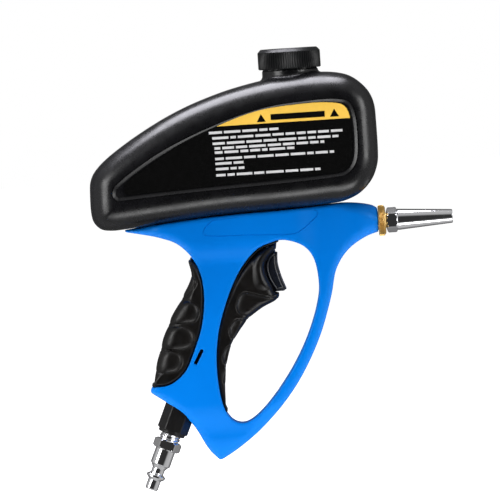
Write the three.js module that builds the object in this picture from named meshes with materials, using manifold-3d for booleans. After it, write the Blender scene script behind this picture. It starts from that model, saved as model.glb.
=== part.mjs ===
// Hand-held gravity-feed media blasting gun: a hopper of abrasive on a two-part pistol body.
// Millimetres, +X towards the nozzle, +Z up to the hopper, the gun's right side towards -Y.
// The origin is the middle of the hand grip, on the axis of the air inlet.

import * as THREE from 'three';
import { mergeVertices } from 'three/addons/utils/BufferGeometryUtils.js';
import Module from 'manifold-3d';

const wasm = await Module();
wasm.setup();

// ---------------------------------------------------------------- driving dimensions

const GAP = 0.3; // clearance between neighbouring pieces
const ROUND = 24; // sides of a large round piece
const SMALL_ROUND = 12; // sides of a small round piece

const HOPPER_HALF = 30; // half width of the hopper
const HOPPER_ROUND = 14; // rounding of its edges
const HOPPER_WALL = 2.5;
const LABEL_RECESS = 1.2;
const LABEL_THICK = 0.4;

const BEAM_HALF = 19; // half widths of the body: beam under the hopper, handle, grip pads
const HANDLE_HALF = 14.5;
const PAD_HALF = 15.5;
const CORE_HALF = 12.5;
const SHELL_WALL = 2.5;

const NECK_X = 64.9; // axis of the filling neck, which takes a 38 mm bottle closure
const NECK_RADIUS = 17.6;
const NECK_BORE = 14.8;
const NECK_TOP = 179.5;
const CAP_LOW = 169.4;
const CAP_TOP = 182.6;
const CAP_RADIUS = 20.3;
const CAP_INNER = 18.2;

const BORE_Z = 67; // height of the blasting axis: jet, mixing block, barrel and nozzle
const DROP_X = 62; // where the media drops out of the hopper
const COLLAR_X = 115.8; // front face of the body
const RING_X = 116.1; // knurled ring on the barrel
const RING_LENGTH = 4.7;
const NOZZLE_X = 121.6;
const NOZZLE_HEX = 6.7;
const NOZZLE_END = 164.4;
const NOZZLE_BORE = 3.3;
const NOZZLE_FLATS = 14.3;
const BARREL = { radius: 6, thread: 4.8, bore: 3.6, back: 74.3, step: 120.9, tip: 127 };
const BLOCK = { from: 48, to: 80, half: 12, below: 8, above: 9.3 }; // mixing block about the bore
const MIXING_RADIUS = 5; // the space in the block where the air meets the media
const DROP_RADIUS = 5.8;
const OUTLET_RADIUS = 8.5; // the hopper's outlet spout and its bore
const OUTLET_BORE = 6.5;
const GASKET = { outer: 12.4, inner: 8.8, low: 76.6, high: 78 };

const INLET_END = new THREE.Vector3(-27.3, 0, -63); // centre of the inlet's lower face
const INLET_AXIS = new THREE.Vector3(0.4, 0, 0.916).normalize(); // from there up the handle
const INLET_FLATS = 18;
const PLUG_FLATS = 15.9;
const PLUG_SHOULDER = -4.3; // where the plug's hexagon ends, along the inlet's axis

const PIN = { x: 43.5, z: 54.2, radius: 1.25 }; // trigger pin
const TRIGGER_HALF = 7;
const TRIGGER_PULL = 12; // degrees

const SLIP = 0.15; // how much wider a hole is than its pin or screw, on the radius

const VALVE_Z = 41;
const VALVE = { radius: 9, from: 1.2, shoulder: 18, neck: 7, to: 27 };
const AIR_IN = { x: 8, radius: 5.6, low: 29, bore: 2.2, socket: 3.8 }; // the valve's side ports
const AIR_OUT = { x: 15.5, radius: 5.2, high: 52.8, bore: 2, socket: 3.5 };
const INLET_HOSE = { radius: 3.6, bore: 2.2 };
const JET_HOSE = { radius: 3, bore: 2 };
const STEM_TIP = 38;
const STEM_RADIUS = 2.5;

// Screws that hold the halves together: place, and the depth of the head under the left face.
const BODY_SCREWS = {
  tail: { x: -24, z: 69.4, head: 14.2 },
  beam: { x: 30, z: 57.5, head: 16 },
  front: { x: 93, z: 54.5, head: 9.6 },
  bow_top: { x: 79.8, z: 30, head: 11 },
  bow_low: { x: 47, z: -41, head: 10.4 },
  foot: { x: 6, z: -67, head: 7.4 },
};

// ---------------------------------------------------------------- materials

const finish = (color, roughness, metalness) =>
  new THREE.MeshStandardMaterial({ color, roughness, metalness });

const BLUE = finish(0x0a73d6, 0.38, 0);
const HOPPER_BLACK = finish(0x17171b, 0.4, 0);
const GRIP_BLACK = finish(0x1b1a19, 0.55, 0);
const DARK_PLASTIC = finish(0x0f1014, 0.4, 0);
const STEEL = finish(0xc9ccd0, 0.18, 1);
const BRASS = finish(0xc8a14a, 0.3, 1);
const RUBBER = finish(0x202020, 0.8, 0);
const ALLOY = finish(0x9b9ea3, 0.45, 1);
const HOSE = finish(0x2c3540, 0.6, 0);
const LABEL = finish(0x0b0b0c, 0.35, 0);

// ---------------------------------------------------------------- solids

// A closed geometry as a solid: positions only, shared corners merged, slivers dropped.
function solid(geometry) {
  const bare = geometry.clone();
  bare.deleteAttribute('normal');
  bare.deleteAttribute('uv');
  const merged = mergeVertices(bare, 1e-4);
  const index = merged.index.array;
  const corners = [];
  for (let i = 0; i < index.length; i += 3) {
    const [a, b, c] = [index[i], index[i + 1], index[i + 2]];
    if (a !== b && b !== c && c !== a) corners.push(a, b, c);
  }
  const build = (triangles) =>
    new wasm.Manifold(
      new wasm.Mesh({
        numProp: 3,
        vertProperties: new Float32Array(merged.attributes.position.array),
        triVerts: new Uint32Array(triangles),
      }),
    );
  const made = build(corners);
  return made.volume() > 0 ? made : build(corners.reverse());
}

function geometryOf(made) {
  const mesh = made.getMesh();
  const geometry = new THREE.BufferGeometry();
  geometry.setAttribute('position', new THREE.BufferAttribute(mesh.vertProperties, 3));
  geometry.setIndex(new THREE.BufferAttribute(mesh.triVerts, 1));
  geometry.computeVertexNormals();
  return geometry;
}

const join = (...solids) => solids.reduce((whole, next) => whole.add(next));
const cut = (whole, ...tools) => tools.reduce((rest, tool) => rest.subtract(tool), whole);

// A closed outline from runs of points. Each run is one smooth curve; corners lie between runs.
function outline(runs, step = 8) {
  const points = [];
  for (const run of runs) {
    const curve = new THREE.CatmullRomCurve3(
      run.map(([a, b]) => new THREE.Vector3(a, b, 0)),
      false,
      'centripetal',
    );
    const count = run.length === 2 ? 1 : Math.max(2, Math.ceil(curve.getLength() / step));
    for (const point of curve.getSpacedPoints(count).slice(0, -1)) {
      points.push(new THREE.Vector2(point.x, point.y));
    }
  }
  return points;
}

const polygon = (points) => points.map(([a, b]) => new THREE.Vector2(a, b));
const anticlockwise = (points) =>
  THREE.ShapeUtils.area(points) > 0 ? points : [...points].reverse();

// The same outline moved outwards by a distance, for smooth outlines.
function grow(points, distance) {
  const loop = anticlockwise(points);
  return loop.map((point, i) => {
    const before = loop[(i + loop.length - 1) % loop.length];
    const after = loop[(i + 1) % loop.length];
    const first = point.clone().sub(before).normalize();
    const second = after.clone().sub(point).normalize();
    const normal = new THREE.Vector2(first.y + second.y, -first.x - second.x).normalize();
    const lean = Math.max(0.5, normal.x * first.y - normal.y * first.x);
    return point.clone().addScaledVector(normal, distance / lean);
  });
}

// An outline carried along one axis, from one place on that axis to another.
const PRISM_AXES = {
  x: [new THREE.Vector3(0, 1, 0), new THREE.Vector3(0, 0, 1), new THREE.Vector3(1, 0, 0)],
  y: [new THREE.Vector3(-1, 0, 0), new THREE.Vector3(0, 0, 1), new THREE.Vector3(0, 1, 0)],
  z: [new THREE.Vector3(1, 0, 0), new THREE.Vector3(0, 1, 0), new THREE.Vector3(0, 0, 1)],
};

function prism(points, axis, from, to) {
  const flat = axis === 'y' ? points.map((p) => new THREE.Vector2(-p.x, p.y)) : points;
  const geometry = new THREE.ExtrudeGeometry(new THREE.Shape(anticlockwise(flat)), {
    depth: to - from,
    bevelEnabled: false,
  });
  geometry.translate(0, 0, from);
  geometry.applyMatrix4(new THREE.Matrix4().makeBasis(...PRISM_AXES[axis]));
  return solid(geometry);
}

const side = (points, half) => prism(points, 'y', -half, half);

function turnTo(geometry, start, direction) {
  const up = new THREE.Vector3(0, 1, 0);
  geometry.applyQuaternion(new THREE.Quaternion().setFromUnitVectors(up, direction));
  geometry.translate(start.x, start.y, start.z);
  return geometry;
}

// A turned piece: [radius, distance along the axis] pairs, from a start point along a direction.
function turned(profile, start, direction, sides = ROUND) {
  const points = profile.map(([radius, along]) => new THREE.Vector2(radius, along));
  return solid(turnTo(new THREE.LatheGeometry(points, sides), start, direction));
}

// A plain round bar or, with a bore, a bush; from and to are distances along the direction.
function bar(radius, start, direction, from, to, sides = ROUND) {
  const profile = [[0, from], [radius, from], [radius, to], [0, to]];
  return turned(profile, start, direction, sides);
}

function bush(radius, bore, start, direction, from, to, sides = ROUND) {
  const profile = [[bore, from], [radius, from], [radius, to], [bore, to], [bore, from]];
  return turned(profile, start, direction, sides);
}

// A hexagonal bar with two of its flats facing the gun's sides.
function hexagon(flats, start, direction, from, to) {
  const corner = flats / Math.sqrt(3);
  const geometry = new THREE.CylinderGeometry(corner, corner, to - from, 6);
  geometry.rotateY(Math.PI / 6);
  geometry.translate(0, (from + to) / 2, 0);
  return solid(turnTo(geometry, start, direction));
}

// A round hose along a curve, with its bore open at both ends.
function hose(points, radius, bore, steps) {
  const shape = new THREE.Shape().absarc(0, 0, radius, 0, 2 * Math.PI);
  shape.holes.push(new THREE.Path().absarc(0, 0, bore, 0, 2 * Math.PI));
  const path = new THREE.CatmullRomCurve3(points.map(([x, z]) => new THREE.Vector3(x, 0, z)));
  return solid(
    new THREE.ExtrudeGeometry(shape, { steps, extrudePath: path, curveSegments: 5 }),
  );
}

class Coil extends THREE.Curve {
  constructor(radius, from, to, turns, z) {
    super();
    Object.assign(this, { radius, from, to, turns, z });
  }

  getPoint(t, target = new THREE.Vector3()) {
    const angle = 2 * Math.PI * this.turns * t;
    const x = this.from + (this.to - this.from) * t;
    return target.set(x, this.radius * Math.cos(angle), this.z + this.radius * Math.sin(angle));
  }
}

const ALONG_X = new THREE.Vector3(1, 0, 0);
const ALONG_Y = new THREE.Vector3(0, 1, 0);
const ALONG_Z = new THREE.Vector3(0, 0, 1);
const at = (x, y, z) => new THREE.Vector3(x, y, z);
const BORE = at(0, 0, BORE_Z);

// ---------------------------------------------------------------- blue body

const BODY_OUTLINE = outline([
  [[-49, 71.4], [-27, 73.9], [15.6, 77.1], [56.7, 78.3], [92.6, 80.2]],
  [[92.6, 80.2], [98.4, 80], [113.2, 76.7], [COLLAR_X, 73.3]],
  [[COLLAR_X, 73.3], [COLLAR_X, 61]],
  [[COLLAR_X, 61], [106.7, 57], [94.8, 49.2], [87, 38], [82.5, 20.7], [73.6, -4.8], [60.2, -30],
    [46.6, -48], [29.8, -64.7], [13.4, -76.7], [5.3, -81.4]],
  [[5.3, -81.4], [3.3, -81.8]],
  [[3.3, -81.8], [-3, -74.7], [-12.1, -58.2], [-21.8, -47.2], [-37.9, -35.3]],
  [[-37.9, -35.3], [-38.8, -34], [-37, -30.7]],
  [[-37, -30.7], [-27.9, -30.4], [-21.8, -27.6], [-15.3, -21.8], [-9.2, -9.8], [-3.1, 6.7],
    [-0.4, 27.4], [-3.7, 46.5], [-14.2, 59.7], [-25.6, 65], [-48.1, 70.1]],
  [[-48.1, 70.1], [-49, 71.4]],
]);

// The opening for the fingers, between the handle and the bow in front of it.
const OPENING = outline([
  [[48.9, 59], [36.9, 54.6], [24, 40.8], [12, 15.5], [6.8, -3.7], [5.3, -25.7], [8.4, -47.4],
    [13.4, -55.6], [18.5, -58.1], [23.8, -57.5], [34, -50.2], [51.7, -28.8], [64.9, -5.9],
    [72.8, 15.3], [74.9, 27.7], [72.2, 46.4], [66.2, 54.3], [55.4, 58.7], [48.9, 59]],
]);

// The hollow of the two halves, before the wall round the opening is put back.
const HOLLOW = outline([
  [[-30, 70.4], [15.6, 74.5], [56.7, 75.7], [92.6, 77.3]],
  [[92.6, 77.3], [106, 75.6]],
  [[106, 75.6], [106, 59.8]],
  [[106, 59.8], [92.5, 50.5], [84.5, 38.6], [80, 21.4], [71.2, -3.6], [58, -28.5],
    [44.7, -46.1], [28.1, -62.7], [12, -74.4]],
  [[12, -74.4], [1, -75]],
  [[1, -75], [-9.9, -56.6], [-20, -45.2], [-30, -37.5]],
  [[-30, -37.5], [-30, -25]],
  [[-30, -25], [-19, 5], [-10, 22], [-3.2, 33]],
  [[-3.2, 33], [-1.1, 47.5], [-11.8, 61.6], [-24.6, 67.5]],
  [[-24.6, 67.5], [-30, 70.4]],
]);

// The parts of the handle that lie under the black pads.
const CORE_REAR = outline([
  [[-5, 45], [-5, 36], [-9.5, 25.5], [-22.3, 5], [-29.5, -14], [-33, -28]],
  [[-33, -28], [-20, -28], [-10, -12], [0, 12], [2, 35], [-3, 46.5]],
  [[-3, 46.5], [-5, 45]],
]);
const CORE_FRONT = outline([
  [[20, 28], [31, 22]],
  [[31, 22], [24, 11], [12.5, -6.5], [8, -22], [7, -40]],
  [[7, -40], [4, -25], [5, 0], [12, 20]],
  [[12, 20], [20, 28]],
]);

// Half widths of the body up its height and along its length, less a wall.
function widthUp(wall) {
  const halves = [
    [5 - wall, -83], [8.5 - wall, -72], [12.5 - wall, -50], [HANDLE_HALF - 1.8 * wall, -34],
    [HANDLE_HALF - 1.8 * wall, 46], [BEAM_HALF - wall, 60], [BEAM_HALF - wall, 84],
  ];
  return polygon([...halves, ...halves.map(([y, z]) => [-y, z]).reverse()]);
}

function widthAlong(wall) {
  const halves = [
    [-50, 8 - wall], [-38, 14 - wall], [-20, BEAM_HALF - wall], [58, BEAM_HALF - wall],
    [74, 14.5 - wall], [98, 12.5 - wall], [117, 8.2 - Math.min(wall, 1)],
  ];
  return polygon([...halves, ...halves.map(([x, y]) => [x, -y]).reverse()]);
}

function bodyForm(points, wall) {
  const whole = side(points, BEAM_HALF - wall);
  const tall = prism(widthUp(wall), 'x', -60, 130);
  const long = prism(widthAlong(wall), 'z', -90, 90);
  return whole.intersect(tall).intersect(long);
}

const coreForm = (clearance) =>
  join(
    side(grow(CORE_REAR, clearance), CORE_HALF + clearance),
    side(grow(CORE_FRONT, clearance), CORE_HALF - 1.2 + clearance),
  );

const screwBoss = ({ x, z }) => bar(3.6, at(x, 0, z), ALONG_Y, -16.5, 16.5, SMALL_ROUND);

function screwForm({ x, z, head }, clearance = 0) {
  const shank = 1.5 + clearance;
  const cap = 3 + clearance;
  const profile = [
    [0, -8 - clearance], [shank, -8 - clearance], [shank, head - clearance],
    [cap, head - clearance], [cap, clearance ? BEAM_HALF + 2 : head + 2.2],
    [0, clearance ? BEAM_HALF + 2 : head + 2.2],
  ];
  return turned(profile, at(x, 0, z), ALONG_Y, SMALL_ROUND);
}

function bodyWhole() {
  const outer = bodyForm(BODY_OUTLINE, 0);
  const opening = side(OPENING, BEAM_HALF + 5);
  const rim = side(grow(OPENING, SHELL_WALL), BEAM_HALF + 5);
  const bosses = Object.values(BODY_SCREWS).map(screwBoss);
  const frontCore = side(CORE_FRONT, CORE_HALF - 1.2).subtract(side(CORE_REAR, BEAM_HALF));
  const hollow = cut(bodyForm(HOLLOW, SHELL_WALL), rim, frontCore, ribs(), ...bosses);
  const shaped = outer.subtract(opening).add(coreForm(0));
  return shaped.subtract(hollow);
}

// Cross walls that hold the valve, the mixing block, the barrel and the air hose.
function ribs() {
  const wall = (x, z0, z1) =>
    prism(polygon([[-BEAM_HALF, z0], [BEAM_HALF, z0], [BEAM_HALF, z1], [-BEAM_HALF, z1]]),
      'x', x, x + 2);
  return join(
    wall(4, 34, 48), wall(19, 30, 54), wall(44.5, 55, 80), wall(81, 55, 80), wall(98, 55, 80),
    side(polygon([[-16, 2], [12, 2], [12, 4], [-16, 4]]), BEAM_HALF),
    side(polygon([[-28, -26], [0, -26], [0, -24], [-28, -24]]), BEAM_HALF),
  );
}

const BODY = bodyWhole();

// Room in the body for what it holds.
const inlet = (radius, from, to, sides) => bar(radius, INLET_END, INLET_AXIS, from, to, sides);
const FOOT = { neck: 5, flange: 8, low: 66.5, step: 69.5, top: 77, from: -14, to: 10 };

function hopperFoot(clearance) {
  const span = [FOOT.from - clearance, FOOT.to + clearance];
  const half = (value) => value + clearance;
  const flange = polygon([
    [-half(FOOT.flange), FOOT.low - clearance], [half(FOOT.flange), FOOT.low - clearance],
    [half(FOOT.flange), FOOT.step + clearance], [-half(FOOT.flange), FOOT.step + clearance],
  ]);
  const neck = polygon([
    [-half(FOOT.neck), FOOT.low], [half(FOOT.neck), FOOT.low],
    [half(FOOT.neck), FOOT.top], [-half(FOOT.neck), FOOT.top],
  ]);
  return join(prism(flange, 'x', ...span), prism(neck, 'x', ...span));
}

const VALVE_AXIS = at(0, 0, VALVE_Z);
const valveForm = (clearance) =>
  join(
    bar(VALVE.radius + clearance, VALVE_AXIS, ALONG_X, VALVE.from - clearance,
      VALVE.shoulder + clearance),
    bar(VALVE.neck + clearance, VALVE_AXIS, ALONG_X, VALVE.shoulder - 1, VALVE.to + clearance),
    bar(AIR_IN.radius + clearance, at(AIR_IN.x, 0, 0), ALONG_Z, AIR_IN.low - clearance,
      VALVE_Z - 5, SMALL_ROUND),
    bar(AIR_OUT.radius + clearance, at(AIR_OUT.x, 0, 0), ALONG_Z, VALVE_Z + 4,
      AIR_OUT.high + clearance, SMALL_ROUND),
  );
const inletRoom = () =>
  join(
    hexagon(INLET_FLATS + 2 * GAP, INLET_END, INLET_AXIS, -8, 24.3),
    inlet(7.3, 20, 34.3),
    inlet(5.2, 30, 100, SMALL_ROUND),
  );
const rectangle = (from, to, half) =>
  polygon([[from, -half], [to, -half], [to, half], [from, half]]);
const blockRoom = () =>
  prism(
    rectangle(BLOCK.from - 0.5, BLOCK.to + GAP, BLOCK.half + GAP),
    'z',
    BORE_Z - BLOCK.below - GAP,
    BORE_Z + BLOCK.above + GAP,
  );
const snapSlot = (y) => {
  const geometry = new THREE.BoxGeometry(10.6, 8, 2);
  geometry.rotateY(-Math.atan2(0.86, 0.5));
  geometry.translate(-6, y, -13.3);
  return solid(geometry);
};

function bodyHalf(sign) {
  const half = cut(
    BODY,
    inletRoom(),
    valveForm(GAP),
    hopperFoot(GAP),
    blockRoom(),
    bar(BARREL.radius + GAP, BORE, ALONG_X, BLOCK.to - 1, 120),
    bar(5.4, BORE, ALONG_X, 14, 50, SMALL_ROUND),
    bar(GASKET.outer + 0.4, at(DROP_X, 0, 0), ALONG_Z, 74, 84),
    snapSlot(sign * (HANDLE_HALF - 0.5)),
    ...Object.values(BODY_SCREWS).map((screw) => screwForm(screw, SLIP)),
  );
  const mask = polygon([[-90, -120], [140, -120], [140, 120], [-90, 120]]);
  const keep = sign > 0 ? prism(mask, 'y', GAP / 2, 40) : prism(mask, 'y', -40, -GAP / 2);
  return half.intersect(keep);
}

// ---------------------------------------------------------------- grips and trigger

const PAD_REAR = outline([
  [[-36.3, -30], [-33.9, -19.3], [-25.1, 6.2], [-14.9, 23.8], [-9.3, 33.2], [-7.3, 39.6],
    [-8.9, 49]],
  [[-8.9, 49], [-7.2, 49.4]],
  [[-7.2, 49.4], [-3.7, 43], [-1.2, 33.9], [-1.1, 26], [-3.8, 6.7], [-9.9, -9.6],
    [-15.9, -21.5], [-22.2, -27.2], [-28.5, -29.9], [-36.3, -30]],
]);

const PAD_FRONT = outline([
  [[49.3, 58.4], [48.5, 53.5]],
  [[48.5, 53.5], [45.8, 51], [40.4, 42], [45.7, 25.6]],
  [[45.7, 25.6], [48.8, 24.4]],
  [[48.8, 24.4], [48.2, 21.6], [37, 16], [26.7, 8.4], [15.9, -6.2], [11.6, -19], [10, -32],
    [9.4, -49.3]],
  [[9.4, -49.3], [6, -26], [7.5, -3.9], [12.7, 15.2], [24.6, 40.5], [37.2, 54.2], [46.5, 58.2],
    [49.3, 58.4]],
]);

const TRIGGER_FACE = outline([
  [[46.6, 51.2], [49.3, 50.9]],
  [[49.3, 50.9], [49.1, 44], [51, 35], [53.8, 27]],
  [[53.8, 27], [51.9, 25.7]],
  [[51.9, 25.7], [47, 25.6]],
  [[47, 25.6], [42.2, 35], [41.2, 43], [43.4, 48.4], [46.6, 51.2]],
]);
const TRIGGER_EAR = polygon([[42, 42], [48, 46], [48, 52], [45.7, 55.4], [42, 56], [40.9, 52.5]]);

const turnedAboutPin = (made, degrees) =>
  made
    .translate([-PIN.x, 0, -PIN.z])
    .rotate([0, degrees, 0])
    .translate([PIN.x, 0, PIN.z]);

function triggerForm(clearance) {
  const half = TRIGGER_HALF + clearance;
  const lever = side(grow(TRIGGER_FACE, clearance), half);
  const ear = side(grow(TRIGGER_EAR, clearance), half - 1.5);
  const eye = bar(2.6 + clearance, at(PIN.x, 0, PIN.z), ALONG_Y, -half, half, SMALL_ROUND);
  const nose = bar(3 + clearance, at(41.5, 0, VALVE_Z), ALONG_Y, -4, 4, SMALL_ROUND);
  return join(lever, ear, eye, nose);
}

function trigger() {
  const hole = bar(PIN.radius + SLIP, at(PIN.x, 0, PIN.z), ALONG_Y, -10, 10, SMALL_ROUND);
  return triggerForm(0).subtract(hole);
}

function gripFront() {
  const swept = [0, TRIGGER_PULL / 2, TRIGGER_PULL + 0.5].map((angle) =>
    turnedAboutPin(triggerForm(0.5), angle),
  );
  return cut(
    side(PAD_FRONT, PAD_HALF - 1),
    coreForm(GAP),
    valveForm(GAP),
    bar(STEM_RADIUS + 0.6, VALVE_AXIS, ALONG_X, 26, 45, SMALL_ROUND),
    bar(PIN.radius + SLIP, at(PIN.x, 0, PIN.z), ALONG_Y, -11.2, 11.2, SMALL_ROUND),
    ...swept,
  );
}

const gripRear = () => side(PAD_REAR, PAD_HALF).subtract(coreForm(GAP));

// ---------------------------------------------------------------- air path

function inletFitting() {
  const chamfer = turned(
    [[0, 0], [8.6, 0], [10.7, 1.8], [10.7, 24], [0, 24]],
    INLET_END,
    INLET_AXIS,
  );
  const head = hexagon(INLET_FLATS, INLET_END, INLET_AXIS, 0, 24).intersect(chamfer);
  const shank = inlet(7, 23, 34);
  return cut(join(head, shank), inlet(7.15, -1, 13), inlet(3, 12, 40, SMALL_ROUND));
}

const INLET_TUBE = [[-13.45, -31.2], [-6.6, -15.4], [0.4, 0.8], [6, 16], [7.9, 24], [8, 31.4]];
const JET_TUBE = [[15.5, 51.2], [15.6, 57], [17.5, 63.5], [23, 66.8], [29, 67]];

function valveBody() {
  return cut(
    valveForm(0),
    bar(VALVE.radius - 2.2, VALVE_AXIS, ALONG_X, -1, 13.4),
    bar(4, VALVE_AXIS, ALONG_X, 10, 18.4, SMALL_ROUND),
    bar(STEM_RADIUS + 0.3, VALVE_AXIS, ALONG_X, 10, 30, SMALL_ROUND),
    bar(3.6, VALVE_AXIS, ALONG_X, 24.2, 30, SMALL_ROUND),
    bar(AIR_IN.socket, at(AIR_IN.x, 0, 0), ALONG_Z, 28, 31.7, SMALL_ROUND),
    bar(AIR_IN.bore, at(AIR_IN.x, 0, 0), ALONG_Z, 30, 36, SMALL_ROUND),
    bar(AIR_OUT.socket, at(AIR_OUT.x, 0, 0), ALONG_Z, 50.9, 55, SMALL_ROUND),
    bar(AIR_OUT.bore, at(AIR_OUT.x, 0, 0), ALONG_Z, 42, 52, SMALL_ROUND),
  );
}

// The stem with its sealing head, which rests against the seat at its front.
const valveStem = () =>
  turned(
    [
      [0, 10.4], [2, 10.4], [5.8, 10.4], [5.8, 12.9], [3, 13.1], [2, 14], [2, 18.6],
      [STEM_RADIUS, 19], [STEM_RADIUS, STEM_TIP - 1.4], [1.4, STEM_TIP], [0, STEM_TIP],
    ],
    VALVE_AXIS,
    ALONG_X,
    SMALL_ROUND,
  );

const valveCap = () =>
  turned([[0, 1.4], [6.5, 1.4], [6.5, 3.6], [2.4, 3.6], [2.4, 4.6], [0, 4.6]], VALVE_AXIS, ALONG_X);

function valveSpring() {
  const wire = new THREE.Shape().absarc(0, 0, 0.4, 0, 2 * Math.PI);
  const coil = new Coil(3.9, 4.4, 9.7, 4, VALVE_Z);
  return solid(
    new THREE.ExtrudeGeometry(wire, { steps: 40, extrudePath: coil, curveSegments: 3 }),
  );
}

const stemSeal = () =>
  bush(3.4, STEM_RADIUS + 0.2, VALVE_AXIS, ALONG_X, 24.5, 26.3, SMALL_ROUND);

const airJet = () =>
  turned(
    [
      [3.4, 26], [4.4, 26], [4.4, 36], [4.2, 36], [4.2, 50], [2.6, 56.8], [1.6, 56.8],
      [1.6, 29.3], [3.4, 29.3], [3.4, 26],
    ],
    BORE,
    ALONG_X,
    SMALL_ROUND,
  );

function mixingBlock() {
  const face = rectangle(BLOCK.from, BLOCK.to, BLOCK.half);
  const drop = at(DROP_X, 0, 0);
  return cut(
    prism(face, 'z', BORE_Z - BLOCK.below, BORE_Z + BLOCK.above),
    bar(4.5, BORE, ALONG_X, BLOCK.from - 2, 54, SMALL_ROUND),
    bar(MIXING_RADIUS, BORE, ALONG_X, 53, BLOCK.to + 2),
    bar(BARREL.radius + GAP, BORE, ALONG_X, BARREL.back - GAP, BLOCK.to + 2),
    bar(DROP_RADIUS, drop, ALONG_Z, BORE_Z, 80),
    bar(OUTLET_RADIUS + 0.4, drop, ALONG_Z, 72.4, 80),
  );
}

const barrel = () =>
  turned(
    [
      [BARREL.bore, BARREL.back], [BARREL.radius, BARREL.back], [BARREL.radius, BARREL.step],
      [BARREL.thread, BARREL.step], [BARREL.thread, BARREL.tip], [BARREL.bore, BARREL.tip],
      [BARREL.bore, BARREL.back],
    ],
    BORE,
    ALONG_X,
  );

const knurledRing = () =>
  turned(
    [
      [6.3, RING_X], [9.3, RING_X], [10, RING_X + 0.7], [10, RING_X + RING_LENGTH - 0.7],
      [9.3, RING_X + RING_LENGTH], [6.3, RING_X + RING_LENGTH], [6.3, RING_X],
    ],
    BORE,
    ALONG_X,
  );

const nozzleSeal = () => bush(6.3, 5.1, BORE, ALONG_X, 121.3, 122.5, SMALL_ROUND);

function nozzle() {
  const hexEnd = NOZZLE_X + NOZZLE_HEX;
  const corner = turned(
    [[0, NOZZLE_X], [7.2, NOZZLE_X], [8.3, NOZZLE_X + 0.9], [8.3, hexEnd - 0.9], [7.2, hexEnd],
      [0, hexEnd]],
    BORE,
    ALONG_X,
  );
  const head = hexagon(NOZZLE_FLATS, BORE, ALONG_X, NOZZLE_X, hexEnd).intersect(corner);
  const spout = turned(
    [[0, hexEnd - 1], [6.95, hexEnd - 1], [4.45, NOZZLE_END], [0, NOZZLE_END]],
    BORE,
    ALONG_X,
  );
  return cut(
    join(head, spout),
    bar(6.5, BORE, ALONG_X, NOZZLE_X - 1, 122.8),
    bar(BARREL.thread + GAP, BORE, ALONG_X, NOZZLE_X - 1, BARREL.tip + 0.4),
    bar(NOZZLE_BORE, BORE, ALONG_X, BARREL.tip, NOZZLE_END + 1),
  );
}

function airPlug() {
  const shoulder = PLUG_SHOULDER;
  const along = (length) => shoulder - length;
  const body = turned(
    [
      [0, shoulder + 14.8], [6.2, shoulder + 14.8], [6.85, shoulder + 1.4],
      [6, shoulder + 0.7], [6, shoulder - 1], [0, shoulder - 1],
    ],
    INLET_END,
    INLET_AXIS,
  );
  const nose = turned(
    [
      [0, along(5)], [6.6, along(5)], [6.6, along(17.1)], [4.25, along(19.5)],
      [4.25, along(22.6)], [6.2, along(24)], [6.2, along(25.6)], [4.25, along(27.3)],
      [4.25, along(33.4)], [3.6, along(34)], [0, along(34)],
    ],
    INLET_END,
    INLET_AXIS,
  );
  const chamfer = turned(
    [[0, along(6.4)], [8, along(6.4)], [9.3, along(5.4)], [9.3, along(1)], [8, shoulder],
      [0, shoulder]],
    INLET_END,
    INLET_AXIS,
  );
  const head = hexagon(PLUG_FLATS, INLET_END, INLET_AXIS, along(6.4), shoulder);
  return cut(join(body, nose, head.intersect(chamfer)), inlet(2.75, -60, 20, SMALL_ROUND));
}

// ---------------------------------------------------------------- hopper

// Places along the hopper, with the heights of its lower and upper edges there.
const HOPPER_STATIONS = [
  [-69.6, 84.5, 97], [-69, 80, 103.5], [-67.4, 76.3, 107.9], [-64, 73.5, 112.4],
  [-59.7, 72.1, 116.6], [-52, 72, 122.2], [-44.4, 72.4, 127.6], [-33, 73.7, 134.3],
  [-21.4, 74.8, 140.8], [-3.3, 76.2, 149], [12.1, 77.4, 154.4], [25.3, 78, 158.2],
  [45.9, 78.6, 162.5], [65, 79.4, 165], [83.4, 80.8, 165.9], [94, 81.9, 165],
  [101.9, 84.4, 162.9], [107.5, 88, 159.6], [111.8, 92.4, 155.6], [114.6, 96.6, 152],
  [116.9, 102, 147.2], [118, 106.5, 143.2], [118.5, 112, 138],
];

// How far the sides stand out at a distance from the nearer end: a quarter round, then straight.
function endRound(distance, radius) {
  const left = Math.max(0, radius - distance);
  return radius - Math.sqrt(radius * radius - left * left);
}

function roundedRing(x, low, high, half, radius, steps) {
  const round = Math.min(radius, (high - low) / 2 - 0.01, half - 0.01);
  const points = [];
  for (const [sy, sz, start] of [[1, 1, 0], [-1, 1, 90], [-1, -1, 180], [1, -1, 270]]) {
    const y = sy * (half - round);
    const z = sz > 0 ? high - round : low + round;
    for (let i = 0; i <= steps; i += 1) {
      const angle = THREE.MathUtils.degToRad(start + (90 * i) / steps);
      points.push(at(x, y + round * Math.cos(angle), z + round * Math.sin(angle)));
    }
  }
  return points;
}

// A solid through rings of equal count, closed with a flat fan at each end.
function loft(rings) {
  const count = rings[0].length;
  const centre = (ring) =>
    ring.reduce((sum, point) => sum.clone().add(point), at(0, 0, 0)).divideScalar(count);
  const points = [...rings.flat(), centre(rings[0]), centre(rings[rings.length - 1])];
  const corners = [];
  for (let r = 0; r + 1 < rings.length; r += 1) {
    for (let i = 0; i < count; i += 1) {
      const next = (i + 1) % count;
      const [a, b] = [r * count + i, r * count + next];
      corners.push(a, b, a + count, b, b + count, a + count);
    }
  }
  const last = (rings.length - 1) * count;
  for (let i = 0; i < count; i += 1) {
    const next = (i + 1) % count;
    corners.push(next, i, rings.length * count);
    corners.push(last + i, last + next, rings.length * count + 1);
  }
  const geometry = new THREE.BufferGeometry().setFromPoints(points);
  geometry.setIndex(corners);
  return solid(geometry);
}

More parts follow.
